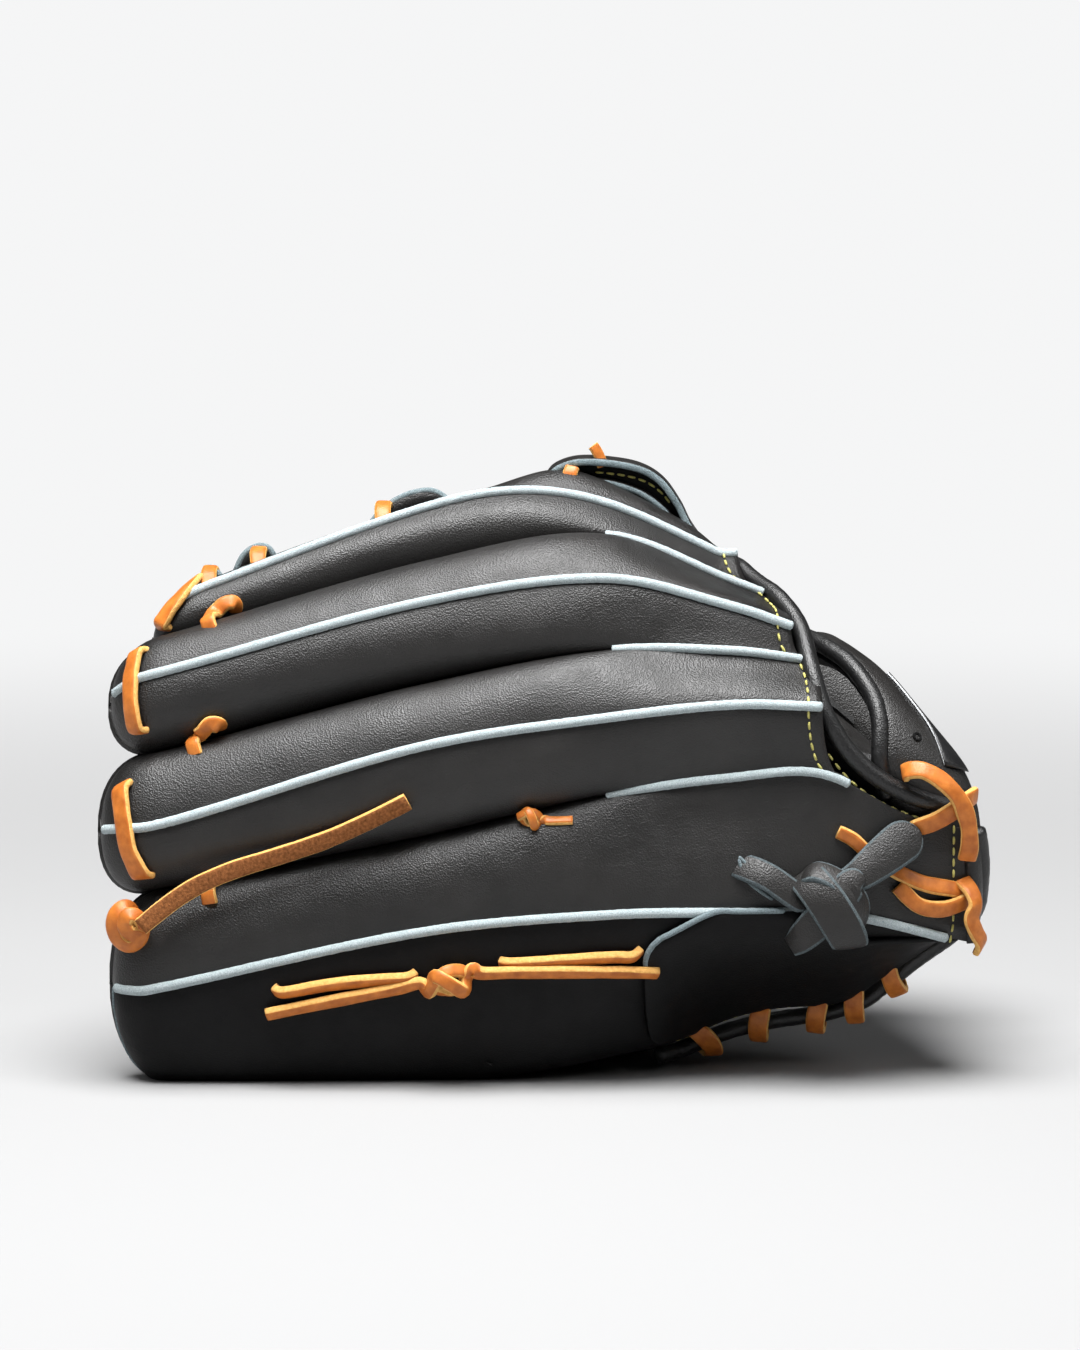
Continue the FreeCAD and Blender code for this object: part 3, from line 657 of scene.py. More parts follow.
def stall_xs(stall, far, steps):
    """Stations along a stall to far, close together at the rounded tip."""
    tip = STALLS[stall][TIP_X] - 0.4
    count = TIP_STATIONS
    near = [tip + TIP_LENGTH * (1 - math.cos(math.pi / 2 * i / count)) for i in range(count + 1)]
    return near + [near[-1] + (far - near[-1]) * i / steps for i in range(1, steps + 1)]


def stall_column(stall, side, phi, steps):
    """Points of one line of a stall's back, from the tip to the binding."""
    far = line_end(stall, side, phi)
    column = []
    for x in stall_xs(stall, far, steps):
        section = Section(stall, x)
        point = section.back(side, phi)
        fade = math.sin(math.radians(phi)) ** 0.5 if phi < 90 else 1.0
        fade *= section.scale * (1 - ease(far - 16, far - 7, x))
        worn = wrinkle(point) * fade * min(1.0, (90.01 - phi) / 14)
        way = point - section.core
        if way.length > 1e-6:
            point = point + way.normalized() * worn
        if stall == "index" and side > 0:
            swell = ease(-24, 14, x) * (1 - ease(46, 66, x))
            round_over = max(0.0, math.sin(math.radians(2 * phi))) ** 0.7
            point = point + Vector((0, 0, 8.0 * swell * round_over))
        column.append(point)
    return column


def stall_piece(stall):
    """The whole leather skin of one stall: both back panels and the palm side."""
    count = 120 if stall == "pinky" else 90
    upper = [stall_column(stall, 1, phi, count) for phi in BACK_PHIS]
    lower = [stall_column(stall, -1, phi, count) for phi in reversed(BACK_PHIS[:-1])]
    columns = upper + lower
    rows = [[column[r] for column in columns] for r in range(len(columns[0]))]
    vertices, faces = grid(rows)
    # The little finger's lower panels take the darker leather copy: painted shade where they face
    # down.
    kinds = []
    for _ in range(len(rows) - 1):
        for c in range(len(columns) - 1):
            kinds.append(1 if stall == "pinky" and c >= 15 else 0)
    back = add_mesh(stall + "_back_leather", vertices, faces, [LEATHER, LEATHER_PAINTED_SHADE], kinds)
    thicken(back, SKIN_THICK, -1.0)
    front_rows = []
    for x in stall_xs(stall, STALLS[stall][END_X] - 4, 60):
        section = Section(stall, x)
        front_rows.append([section.front(psi) for psi in FRONT_PSIS])
    front = sheet_piece(stall + "_front_leather", front_rows, LEATHER, SKIN_THICK)
    body = "thumb" if stall == "thumb" else "root"
    stands_for = [stall + "_back_upper", stall + "_back_lower"]
    if stall == "pinky":
        stands_for += ["heel_back_panel", "wrist_side_panel"]
    attach(back, body, stands_for)
    attach(front, body, (stall + "_front",))


for stall_name in STALLS:
    stall_piece(stall_name)


# ---------------------------------------------------------------- welts
for stall_name, welt_end in (
    ("pinky", 131.5), ("ring", 90), ("middle", 81), ("index", 64), ("thumb", 131)
):
    path = []
    for x in spread(STALLS[stall_name][TIP_X] + 1.0, welt_end, 34):
        section = Section(stall_name, x)
        path.append(section.finish(section.crest, 0.5))
    welt = tube_piece(stall_name + "_welt_cord", path, 1.6, WELT, 8, 12, 0.08)
    attach(welt, "thumb" if stall_name == "thumb" else "root", (stall_name + "_welt",))

VALLEY_WELTS = {
    "index_middle": ("middle", 20, 72), "middle_ring": ("ring", 22, 86.5),
    "ring_pinky": ("pinky", 20, 99),
}
for line_name, (stall_name, first, last) in VALLEY_WELTS.items():
    path = []
    for x in spread(first, last, 16):
        section = Section(stall_name, x)
        path.append(section.edge[1] + section.out * 1.0)
    attach(tube_piece(line_name + "_seam_welt", path, 1.5, WELT, 8, 12, 0.08), "root", ())


# ---------------------------------------------------------------- flap on the heel
FLAP_START = 33.0
FLAP_END = 135.0


def flap_point(x, phi, rise):
    """A point of the overlay flap, a little above the heel leather."""
    section = Section("pinky", x)
    point = section.back(-1, min(phi, 90))
    return point + section.out * rise + Vector((0, 0, 0.6 if phi >= 90 else 0))


def flap():
    """The overlay flap with its pale cut edge, rounded at its finger end."""
    rows = []
    rim = []
    for i in range(61):
        x = FLAP_START + (FLAP_END - FLAP_START) * (i / 60) ** 1.6
        top = 78 + 13 * ease(25, 60, x)
        if x > 80:
            top = 91 - 14 * ease(80, 100, x)
        bulge = math.sqrt(max(0.0, 1 - ((38 - x) / 5.0) ** 2)) if x < 38 else 1.0
        high = 73 + (top - 73) * bulge
        low = 62 - (62 - 17) * bulge
        rise = (1.7 + 0.5 * bulge) * (1 - 0.85 * ease(100, FLAP_END, x))
        row = [flap_point(x, low + (high - low) * k / 20, rise) for k in range(21)]
        rows.append(row)
        if x < 84:
            rim.append(row[-1] + Vector((0, -0.3, 0.2)))
    # The flap takes the darker leather copy: painted shade on the downward-facing heel side.
    attach(sheet_piece("flap_leather", rows, LEATHER_PAINTED_SHADE, 1.8), "root", ("heel_flap",))
    under = [flap_point(FLAP_START + 0.4, 70, 2.0)]
    attach(tube_piece("flap_edge", under + rim[::3], 1.0, EDGE_PALE, 5, 10, 0.1), "root")


flap()


def pinky_tip_edge():
    """The thin pale seam round the little finger's tip, from its crest to the floor."""
    path = []
    for phi in (88, 70, 50, 30, 15, 6):
        path.append(Section("pinky", -140.6).back(-1, phi, 0.5))
    for x in (-139, -135, -129, -121, -113):
        path.append(Section("pinky", x).back(-1, 3, 0.5))
    path = [Vector((p.x, p.y, max(p.z, 0.6))) for p in path]
    attach(tube_piece("pinky_tip_seam", path, 0.5, EDGE_PALE, 6, 8, 0.1), "root")


pinky_tip_edge()


def heel_turn():
    """Leather that turns the heel's edge in to the rolled binding."""
    path = catmull([
        (134, 45, 42.5), (140, 39, 53), (142, 32, 64), (141.5, 26, 75), (140, 22, 84),
    ], 8)
    rows = []
    for i, point in enumerate(path):
        t = i / (len(path) - 1)
        turn = 24 + 142 * t
        side, phi = (-1, turn) if turn < 90 else (1, 180 - turn)
        x = line_end("pinky", side, phi) - 1.0
        near = Section("pinky", x).back(side, phi)
        middle = near.lerp(point, 0.55) + Vector((1.2, -1.0, 0))
        rows.append([near + Vector((-2, 0.3, 0)), near, middle, Vector(point)])
    attach(sheet_piece("heel_turn_leather", rows, LEATHER, 2.0), "root")


heel_turn()


# ---------------------------------------------------------------- hand opening, bindings
BACK_BINDING = [
    (60, 82, 161), (63, 70, 163), (69, 60, 159), (76, 50, 155), (82.5, 39, 147), (86, 25.5, 135),
    (90, 17, 122), (96.5, 16, 111), (104, 16, 103), (113, 16.5, 97), (122, 17.5, 93), (131, 20, 90),
]
HEEL_BINDING = [
    (37, 39, 4.6), (44, 46, 5.2), (53, 49, 8.4), (64, 50, 12), (78, 50, 15), (92, 50, 17),
    (105, 50.5, 21), (114, 51, 28), (124, 50, 36), (134, 46.5, 44), (141, 40, 53), (142.5, 33, 64),
    (142, 27, 75), (140.5, 23, 83),
]


def on_row(points, offset):
    """The same path moved by a fixed offset."""
    return [Vector(p) + Vector(offset) for p in points]


back_roll = tube_piece(
    "back_roll", on_row(BACK_BINDING, (0.8, -1.8, 0.6)), 3.0, BINDING, 8, 16, 0.05
)
attach(back_roll, "root", ("back_binding",))
HEEL_ROLL = on_row(HEEL_BINDING, (0.6, -1.6, 0))
heel_roll = tube_piece("heel_roll", HEEL_ROLL, 2.8, BINDING, 8, 16, 0.08)
attach(heel_roll, "root", ("heel_binding",))

thumb_roll_path = []
for x, side, phi in (
    (135.5, -1, 10), (135.5, -1, 50), (135.5, 1, 88), (135.5, 1, 45), (135.5, 1, 5)
):
    thumb_roll_path.append(Section("thumb", 131).back(side, phi, -1.7) + Vector((x - 131, 0, 0)))
thumb_roll = tube_piece("thumb_roll", thumb_roll_path, 2.3, BINDING, 8, 16, 0.08)
attach(thumb_roll, "thumb", ("thumb_binding",))


def thumb_end_cap():
    """Leather that closes the thumb stall's heel end inside its rolled edge."""
    ring = catmull(thumb_roll_path, 6)
    ring += [ring[-1].lerp(ring[0], k / 8) for k in range(1, 9)]
    middle = sum(ring, Vector()) / len(ring) + Vector((-7, 0, 0))
    rows = []
    for k in range(9):
        share = k / 8
        dish = Vector((-4 * math.sin(math.pi * share), 0, 0))
        rows.append([point.lerp(middle, 0.97 * share) + dish for point in ring])
    attach(sheet_piece("thumb_end_cap", rows, LINING, 1.4), "thumb")


thumb_end_cap()


def inner_lining():
    """Dark lining seen through the hand opening, from the binding down into the glove."""
    rows = []
    path = catmull(BACK_BINDING, 4)
    for depth in range(14):
        row = []
        for point in path:
            inward = Vector((-26, 16, -16)) * (depth / 13)
            bulge = Vector((0, 10, 0)) * math.sin(math.pi * depth / 13)
            row.append(point + Vector((0, 2.0, -0.6)) + inward + bulge)
        rows.append(row)
    attach(sheet_piece("opening_lining", rows, LINING, 1.0), "root")


inner_lining()


# ---------------------------------------------------------------- palm and pocket
POCKET_THICK = 2.2


def palm_points(x):
    """The pocket side's cross-section from the floor to the fold line."""
    low = on_line("pinky_floor", x)
    row = [Vector((x, low.y + 3.5, max(low.z + 3.0, 0.3)))]
    row += [on_line(name, x) for name in ("palm_foot", "palm_rise", "palm_mid", "palm_high")]
    row.append(spine(x) + Vector((0, -1.3, 0)))
    return row


def thumb_points(x):
    """The thumb side's pocket leather from the fold line outwards."""
    start = spine(x) + Vector((0, 1.3, 0))
    near = on_line("thumb_near", x)
    far = on_line("thumb_far", x)
    shoulder = Vector((x, near.y - 9, near.z - 17))
    waist = (near + far) * 0.5 + Vector((0, -9, -3))
    return [start, (start + shoulder) * 0.5, shoulder, waist, far + Vector((0, -4, 3))]


def pocket():
    """One sheet of pocket leather from the heel over the fold line to the thumb."""
    rows = []
    for x in spread(PALM_START - 1, 138, 60):
        line = palm_points(x)[:-1] + [spine(x)] + thumb_points(min(x, 131))[1:]
        row = catmull(line, 8)
        rows.append([p + Vector((0, 0, 0.6)) + Vector((0, 0.9, 0)) * wrinkle(p) for p in row])
    leather = sheet_piece("pocket_leather", rows, LEATHER, POCKET_THICK)
    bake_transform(leather)
    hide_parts("palm_shell", "thumb_palm")


pocket()


def pocket_turn():
    """The pocket's finger-side edge, turned in to the finger stalls."""
    edge = catmull(palm_points(PALM_START - 1), 8)
    rows = []
    for angle in spread(0, math.pi / 2, 10):
        shift = Vector((-26 * math.sin(angle), -20 * (1 - math.cos(angle)), 0.6))
        rows.append([point + shift for point in edge])
    attach(sheet_piece("pocket_turn_leather", rows, LEATHER, POCKET_THICK), "root")


pocket_turn()


# ---------------------------------------------------------------- web and side walls
WEB_THICK = 2.4
WEB_END = -20.0             # where the posts end towards the heel
INDEX_SET = 3.2             # how far the web's edges sit in from the finger side, mm
THUMB_SET = -4.5            # and from the thumb side


def side_walls():
    """Leather between the index finger, the fold line and the thumb stall."""
    index_rows, thumb_rows = [], []
    for x in spread(PALM_START, 56, 24):
        top = on_line("index_web", x)
        foot = spine(x) + Vector((0, -8, 6))
        middle = (top + foot) * 0.5 + Vector((0, 2, 0))
        index_rows.append(catmull([top + Vector((0, 0.5, -3)), middle, foot], 8))
    for x in spread(PALM_START, 50, 24):
        near = on_line("thumb_near", x)
        settle = ease(14, 50, x)
        start = spine(x) + Vector((0, 8 - 4 * settle, 10 - 9 * settle))
        middle = (start + near) * 0.5 + Vector((0, 0, 1.5))
        thumb_rows.append(catmull([start, middle, near + Vector((0, -2.5, -0.5))], 8))
    index_wall = sheet_piece("index_wall_leather", index_rows, LEATHER, WEB_THICK)
    attach(index_wall, "root", ("index_side_wall",))
    thumb_wall = sheet_piece("thumb_wall_leather", thumb_rows, LEATHER, WEB_THICK)
    attach(thumb_wall, "thumb", ("thumb_side_wall",))


side_walls()


def lobe(x, first, count):
    """How far a lobed edge swells out at x: count rounded lobes."""
    t = (x - first) / (WEB_END - first)
    return abs(math.sin(math.pi * count * min(max(t, 0), 1))) ** 0.6


def web():
    """Two lobed posts laced to the fingers and the cross bar that joins them."""
    index_rows, thumb_rows = [], []
    for x in spread(-108, WEB_END, 70):
        top = on_line("index_web", x) + Vector((0, INDEX_SET, 2.6 * lobe(x, -108, 3)))
        middle = spine(x)
        rim = top.lerp(middle, 0.52 - 0.03 * lobe(x, -108, 5))
        index_rows.append([top.lerp(rim, t) for t in spread(0, 1, 12)])
    for x in spread(-87, WEB_END, 56):
        near = on_line("thumb_near", x) + Vector((0, THUMB_SET, 2.2 * lobe(x, -87, 3)))
        middle = spine(x)
        rim = near.lerp(middle, 0.52 - 0.03 * lobe(x, -87, 4))
        thumb_rows.append([rim.lerp(near, t) for t in spread(0, 1, 12)])
    index_post = sheet_piece("web_index_leather", index_rows, LEATHER, WEB_THICK)
    attach(index_post, "root", ("web_index_post",))
    thumb_post = sheet_piece("web_thumb_leather", thumb_rows, LEATHER, WEB_THICK)
    attach(thumb_post, "thumb", ("web_thumb_post",))
    bar_rows = []
    for x in spread(-77, -55, 14):
        top = on_line("index_web", x) + Vector((0, INDEX_SET, 0))
        near = on_line("thumb_near", x) + Vector((0, THUMB_SET, 0))
        middle = spine(x)
        arch = [top.lerp(middle, 0.42), middle + Vector((0, 0, 1.2)), near.lerp(middle, 0.42)]
        bar_rows.append(catmull(arch, 10))
    bar = sheet_piece("web_bar_leather", bar_rows, LEATHER, WEB_THICK)
    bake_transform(bar)
    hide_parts("web_cross_bar")
    lobes = ((-60, -30.5, 80, 185.8), (-103, -88, 68, 169.8), (-115.5, -105, 61, 162.4))
    for i, (first, last, depth, height) in enumerate(lobes):
        rows, rim = [], []
        for x in spread(first, last, 26):
            t = (x - first) / (last - first)
            base = on_line("index_web", x) + Vector((0, 2, -6))
            slope = 0.37 * (x - (first + last) / 2)
            top = Vector((x, depth, height + slope - 8 * abs(2 * t - 1) ** 2.6))
            rows.append([base.lerp(top, k / 6) for k in range(7)])
            rim.append(top)
        attach(sheet_piece("web_lobe_%d" % (i + 1), rows, LEATHER, WEB_THICK), "root")
        edge = tube_piece(
            "web_lobe_edge_%d" % (i + 1), rim[::5] + rim[-1:], 1.15, EDGE_PALE, 5, 10, 0.08
        )
        attach(edge, "root")
    ties = []
    for x, y, z in ((-53, 68, 178.5), (-94, 58, 164.6), (-110, 53, 158.8)):
        spots = [
            (x, y, z - 1.5), (x - 0.4, y + 4, z + 3.4), (x, y + 10, z + 4.6),
            (x + 0.6, y + 14, z + 2.0),
        ]
        ways = [(0, -1, 0.2), (0, -0.9, 0.6), (0, -0.2, 1), (0, 0.6, 1)]
        ties.append(([Vector(p) for p in spots], ways, 5.2))
    attach(ribbon_piece("web_index_ties", ties), "root", ("web_index_lace",))
    ties = []
    for x in (-70, -40):
        near = on_line("thumb_near", x)
        spots = [near + Vector(p) for p in ((0, -9, 5.6), (0, -2, 6.2), (0, 4, 5.4))]
        ties.append((spots, [(0, -0.3, 1), (0, 0.1, 1), (0, 0.6, 1)], 5.0))
    attach(ribbon_piece("web_thumb_ties", ties), "thumb", ("web_thumb_lace",))


web()


WEB_LOOP = [
    (1, 78, 190.5), (4, 78, 195), (11, 78, 197.5), (21, 78, 197.3), (31.5, 78, 195.3),
    (38.7, 78, 191), (44.2, 78, 183.5), (48, 78, 176), (53.5, 79, 168),
]
WEB_INNER = [
    (10, 78, 188.5), (14, 78, 190.4), (21, 78, 190.6), (31, 78, 187.6), (39, 78, 182.2),
    (44, 78, 176), (49, 78, 170),
]


def upward(points):
    """Facing directions of a strap that runs over the top: at right angles to its run."""
    points = [Vector(p) for p in points]
    ways = []
    for i in range(len(points)):
        along = run_at(points, i)
        ways.append(Vector((-along.z, 0, along.x)).normalized())
    return ways


for piece_name, route, width, thick, node_name in (
    ("web_loop_strap", WEB_LOOP, 12, 2.6, "web_base_loop"),
    ("web_inner_strap", WEB_INNER, 10, 2.2, "web_base_inner"),
):
    strips = [(route, upward(route), width)]
    loop = ribbon_piece(piece_name, strips, width, thick, materials=(LEATHER, EDGE_PALE, LEATHER))
    attach(loop, "root", (node_name,))
loop_rows = []
for point in catmull(WEB_LOOP, 4):
    foot = Vector((point.x, 81, on_line("index_crest", point.x).z - 5))
    loop_rows.append([Vector((point.x, 79, point.z - 0.8)).lerp(foot, k / 6) for k in range(7)])
# The sheet behind the web loop takes the darker leather copy: painted shade behind the loop.
attach(sheet_piece("web_loop_back", loop_rows, LEATHER_PAINTED_SHADE, 2.0), "root")
loop_end = ribbon_piece(
    "web_loop_lace",
    [
        (
            [(8.4, 70, 187), (8.2, 69.6, 190.5), (8.6, 70, 194), (9.4, 71.5, 196)],
            [(0, -1, 0), (0, -1, 0.1), (0, -0.9, 0.4), (0, -0.5, 0.8)], 5
        ),
        (
            [(19.5, 74, 196), (18.6, 74, 198.8), (17.2, 74, 201.6), (16.2, 74, 203.0)],
            [(0.2, -1, 0.3)] * 4, 3.6
        ),
    ],
    5.0, 1.8,
)
attach(loop_end, "root", ())


# ---------------------------------------------------------------- wrist strap
STRAP_LEFT = [
    (86, 92, 131), (85, 78, 137.5), (86.5, 62, 140.4), (92, 50, 139.2), (100, 39, 134.6),
    (106.5, 29, 126.5), (109, 22, 118), (109, 18, 107), (110.5, 19.5, 97), (112, 23, 88),
]
STRAP_RIGHT = [
    (104, 92, 126), (103, 79, 131.5), (102, 66, 132.6), (107, 56, 129.8), (114, 48, 124.6),
    (122.6, 39, 116), (130.5, 32, 108.5), (137, 26, 101), (141, 23, 91), (142.5, 24, 82),
]
STRAP_STEPS = 7             # points between two stations
STRAP_BOW = 3.0


def strap_spot(along, share, lift):
    """A point over the strap: station along it, share across it, lift; and the way out."""
    index = along * STRAP_STEPS
    low = int(min(max(math.floor(index), 0), len(STRAP_LINE) - 2))
    t = index - low
    left_near, right_near = STRAP_LINE[low]
    left_far, right_far = STRAP_LINE[low + 1]
    left = left_near.lerp(left_far, t)
    right = right_near.lerp(right_far, t)
    run = (left_far + right_far) - (left_near + right_near)
    wide = right - left
    up = wide.cross(run).normalized()
    if up.dot(Vector((0.3, -1, 0.6))) < 0:
        up = -up
    bow = STRAP_BOW * (1 - (2 * share - 1) ** 2)
    return left + wide * share + up * (bow + lift), up


STRAP_LINE = list(zip(catmull(STRAP_LEFT, STRAP_STEPS), catmull(STRAP_RIGHT, STRAP_STEPS)))
STRAP_LAST = len(STRAP_LEFT) - 1


def strap_rows(first, last, low, high, lift, thick):
    """Closed rounded cross-sections over part of the strap."""
    rows = []
    for along in spread(first, last, int((last - first) * 8) + 1):
        over = [strap_spot(along, low + (high - low) * k / 12, 0) for k in range(13)]
        half = [thick * (0.5 if 0 < k < 12 else 0.2) for k in range(13)]
        row = [p + up * (lift + h) for (p, up), h in zip(over, half)]
        row += [p + up * (lift - h) for (p, up), h in zip(over[::-1], half[::-1])]
        rows.append(row)
    return rows


def capped(name, rows, materials, kinds_of=None):
    """A closed tube-like piece from rings, capped at both ends."""
    vertices, faces = grid(rows, True)
    count = len(rows[0])
    kinds = [kinds_of(i % count) if kinds_of else 0 for i in range(len(faces))]
    close_ends(faces, rows)
    kinds += [0, 0]
    return add_mesh(name, vertices, faces, materials, kinds)


def blend_strap(piece, nodes=()):
    """Bakes a strap piece into the shared frame and hides the CAD parts it stands for."""
    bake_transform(piece)
    if nodes:
        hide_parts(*nodes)


strap = capped("strap_leather", strap_rows(0, STRAP_LAST, 0, 1, 0, 3.2), [LEATHER])
blend_strap(strap, ("wrist_strap",))
pad = capped("strap_padding", strap_rows(0.2, 7.4, 0.04, 0.95, -3.6, 3.6), [LINING])
blend_strap(pad, ("wrist_strap_pad",))
patch_rows = strap_rows(4.0, 7.0, 0.70, 1.03, 2.1, 1.3)
patch = capped(
    "strap_badge", patch_rows, [PATCH, PATCH_EDGE], lambda k: 1 if k in (12, 13, 25) else 0
)
blend_strap(patch, ("strap_patch",))
roll_line = [strap_spot(along, 0.0, 0.2)[0] for along in spread(1.2, 8.3, 28)]
strap_roll = tube_piece("strap_rolled_edge", roll_line, 2.9, BINDING, 5, 14, 0.06)
blend_strap(strap_roll)
# A near-black ring round the strap's lace hole: painted shade inside the hole, which is not cut
# through the strap.
hole_point, hole_up = strap_spot(6.35, 0.42, 1.7)
hole_ring = []
hole_flat = hole_up.orthogonal().normalized()
for k in range(9):
    a = 2 * math.pi * k / 8
    way = hole_flat * math.cos(a) + hole_up.cross(hole_flat) * math.sin(a)
    hole_ring.append(hole_point + way * 1.3)
lace_hole = tube_piece("strap_lace_hole", hole_ring, 0.45, HOLE_PAINTED_SHADE, 4, 8, 0.1)
blend_strap(lace_hole)


# ---------------------------------------------------------------- laces
def laid(stall, stops, lift, lean, dive=2.6):
    """A lace laid on a stall: stops of (side, x, phi); its ends dive into the leather."""
    points, normals = [], []
    for side, x, phi in stops:
        point, normal = surface(stall, side, x, phi)
        points.append(point + normal * lift)
        normals.append((normal + Vector(lean)).normalized())
    if dive:
        points[0] = points[0] - normals[0] * dive
        points[-1] = points[-1] - normals[-1] * dive
    return points, normals


def joined(first, second):
    """Two laid strips joined into one."""
    return first[0] + second[0], first[1] + second[1]


LEFTWARD = (-0.3, 0, 0)

TIP_STOPS = {
    "middle": [
        (1, -131.8, 50), (1, -132.2, 58), (1, -133.0, 74), (1, -133.6, 88), (-1, -133.6, 74),
        (-1, -133.2, 58), (-1, -132.2, 40), (-1, -131.6, 34),
    ],
    "ring": [
        (1, -136.8, 48), (1, -136.8, 58), (1, -136.4, 74), (1, -135.6, 88), (-1, -134.4, 74),
        (-1, -132.6, 60), (-1, -130.6, 46), (-1, -130.0, 40),
    ],
    "index": [
        (1, -112.5, 50), (1, -113.5, 62), (1, -115.6, 76), (-1, -119.0, 86), (-1, -121.8, 72),
        (-1, -123.6, 58), (-1, -124.8, 46), (-1, -125, 38),
    ],
}
tip_strips = [laid(stall, stops, 1.5, LEFTWARD) for stall, stops in TIP_STOPS.items()]
attach(ribbon_piece("tip_laces", tip_strips, 6.4, 2.4), "root", ("fingertip_lace",))

link_strips = [
    joined(
        laid("middle", [(1, -109.8, 46), (1, -109.4, 38), (1, -109.0, 27)], 1.6, LEFTWARD, 0),
        laid(
            "index", [(-1, -107.4, 28), (-1, -104.4, 36), (-1, -101.6, 32), (-1, -101.2, 22)], 1.6,
            (0, 0, 0.5), 0
        ),
    ),
    joined(
        laid("ring", [(1, -114.2, 34), (1, -113.8, 25), (1, -113.4, 14)], 1.6, LEFTWARD, 0),
        laid(
            "middle", [(-1, -111.6, 20), (-1, -108.8, 28), (-1, -106.0, 24), (-1, -105.6, 15)], 1.6,
            (0, 0, 0.5), 0
        ),
    ),
    laid(
        "pinky", [(1, -109.0, 40), (1, -108.8, 30), (1, -108.4, 18), (1, -108.0, 6)], 1.6, LEFTWARD,
        2.0
    ),
]
for points, normals in link_strips[:2]:
    points[0] = points[0] - normals[0] * 3.0
    points[-1] = points[-1] - normals[-1] * 3.4
links = ribbon_piece("finger_link_laces", link_strips, 5.2, 2.4)
attach(links, "root", ("finger_link_lace",))

DOWNWARD = (0, -0.1, -0.9)
FAR_RUN = [
    (-1, -87, 78.5), (-1, -84, 79), (-1, -70, 79), (-1, -55, 78), (-1, -45, 77), (-1, -42, 76),
]
NEAR_RUN = [(-1, -14, 77), (-1, -8, 78), (-1, 8, 77.5), (-1, 22, 77), (-1, 28, 76.5), (-1, 31, 76)]
runs = [laid("pinky", stops, 1.8, DOWNWARD) for stops in (FAR_RUN, NEAR_RUN)]
attach(ribbon_piece("pinky_back_laces", runs, 4.2, 3.0), "root", ("pinky_lace",))

# An overhand knot in a flat lace: along, up and outward parts of its path, in half-sizes.
KNOT_PATH = [
    (-1.25, 0.05, 0.25), (-0.55, 0.50, 0.85), (0.25, 0.62, 0.75), (0.85, 0.10, 0.15),
    (0.45, -0.62, -0.25), (-0.35, -0.55, -0.3), (-0.85, 0.05, 0.15), (-0.45, 0.75, 0.95),
    (0.10, 0.05, 1.35), (0.45, -0.70, 0.75), (0.80, -0.25, 0.15), (1.35, 0.02, 0.25),
]


def knot(centre, half_size, facing, lean, start, end, depth):
    """A knotted strip: a tail up to the knot, its turns, and the tail after it."""
    centre = Vector(centre)
    facing = Vector(facing).normalized()
    side = squared(Vector((math.cos(lean), 0, math.sin(lean))), facing)
    up = facing.cross(side)
    if up.z < 0:
        up = -up
    points = [Vector(p) for p, _ in start]
    normals = [Vector(n) for _, n in start]
    for a, b, c in KNOT_PATH:
        spot = centre + (side * a + up * b + facing * c * depth) * half_size
        way = side * a * 0.5 + up * b * 1.0 + facing * (c * 0.9 + 0.35)
        points.append(spot)
        normals.append(way.normalized())
    points += [Vector(p) for p, _ in end]
    normals += [Vector(n) for _, n in end]
    return points, normals


def stops_on(stall, stops, lift, lean):
    """Laid stops as pairs of point and facing, for the tails of a knot."""
    points, normals = laid(stall, stops, lift, lean, 0)
    return list(zip(points, normals))


lower_left = stops_on(
    "pinky", [(-1, -90, 71), (-1, -78, 72), (-1, -62, 73), (-1, -48, 74), (-1, -40, 75)], 2.2,
    DOWNWARD
)
lower_right = stops_on(
    "pinky", [(-1, -20, 76.5), (-1, -8, 75.5), (-1, 10, 73.5), (-1, 26, 71.5), (-1, 36, 70)], 3.0,
    DOWNWARD
)
knot_spot = surface("pinky", -1, -30.4, 74)[0]
pinky_knot = ribbon_piece(
    "pinky_lace_knot_turns",
    [
        knot(
            knot_spot + Vector((0, -2.6, 0.5)), 6.2, (0, -1, -0.1), 0.5, lower_left, lower_right,
            0.75
        ),
    ],
    4.6, 2.8, 6,
)
attach(pinky_knot, "root", ("pinky_lace_knot",))

valley_spot = surface("pinky", 1, -4.2, 17)[0]
valley = ribbon_piece(
    "valley_knot_turns",
    [
        knot(
            valley_spot + Vector((0, -1.6, -0.3)), 3.3, (0, -1, 0.15), -0.1, (),
            (
                (valley_spot + Vector((6.5, -2.6, -0.8)), Vector((0, -0.7, 0.7))),
                (valley_spot + Vector((13.5, -3.0, -0.6)), Vector((0, -0.7, 0.7))),
            ),
            0.85,
        ),
    ],
    3.0, 1.8, 6,
)
attach(valley, "root", ("valley_knot",))

# The loop at the little finger's tip that the free lace comes out of.
RING_CENTRE = Vector((-134.6, 9.6, 53.5))
ring_points, ring_normals = [], []
for turn, reach, out in (
    (60, 0.6, -1.0), (100, 0.95, 1.2), (140, 1.0, 2.2), (180, 0.95, 2.2), (225, 0.95, 2.0),
    (270, 1.0, 2.2), (315, 0.95, 2.6), (0, 0.85, 3.4), (45, 0.75, 4.6), (90, 0.62, 5.4),
    (135, 0.3, 5.2), (270, 0.2, 5.0), (315, 0.55, 4.2), (320, 0.9, 2.4),
):
    a = math.radians(turn)
    way = Vector((math.cos(a), 0, math.sin(a) * 1.25))
    ring_points.append(RING_CENTRE + way * (5.2 * reach) + Vector((0, -out, 0)))
    ring_normals.append((way * 0.7 + Vector((0, -1.0, 0))).normalized())
tip_knot = ribbon_piece("tail_knot_loop", [(ring_points, ring_normals)], 5.4, 2.4, 6)
attach(tip_knot, "root", ("tail_knot",))


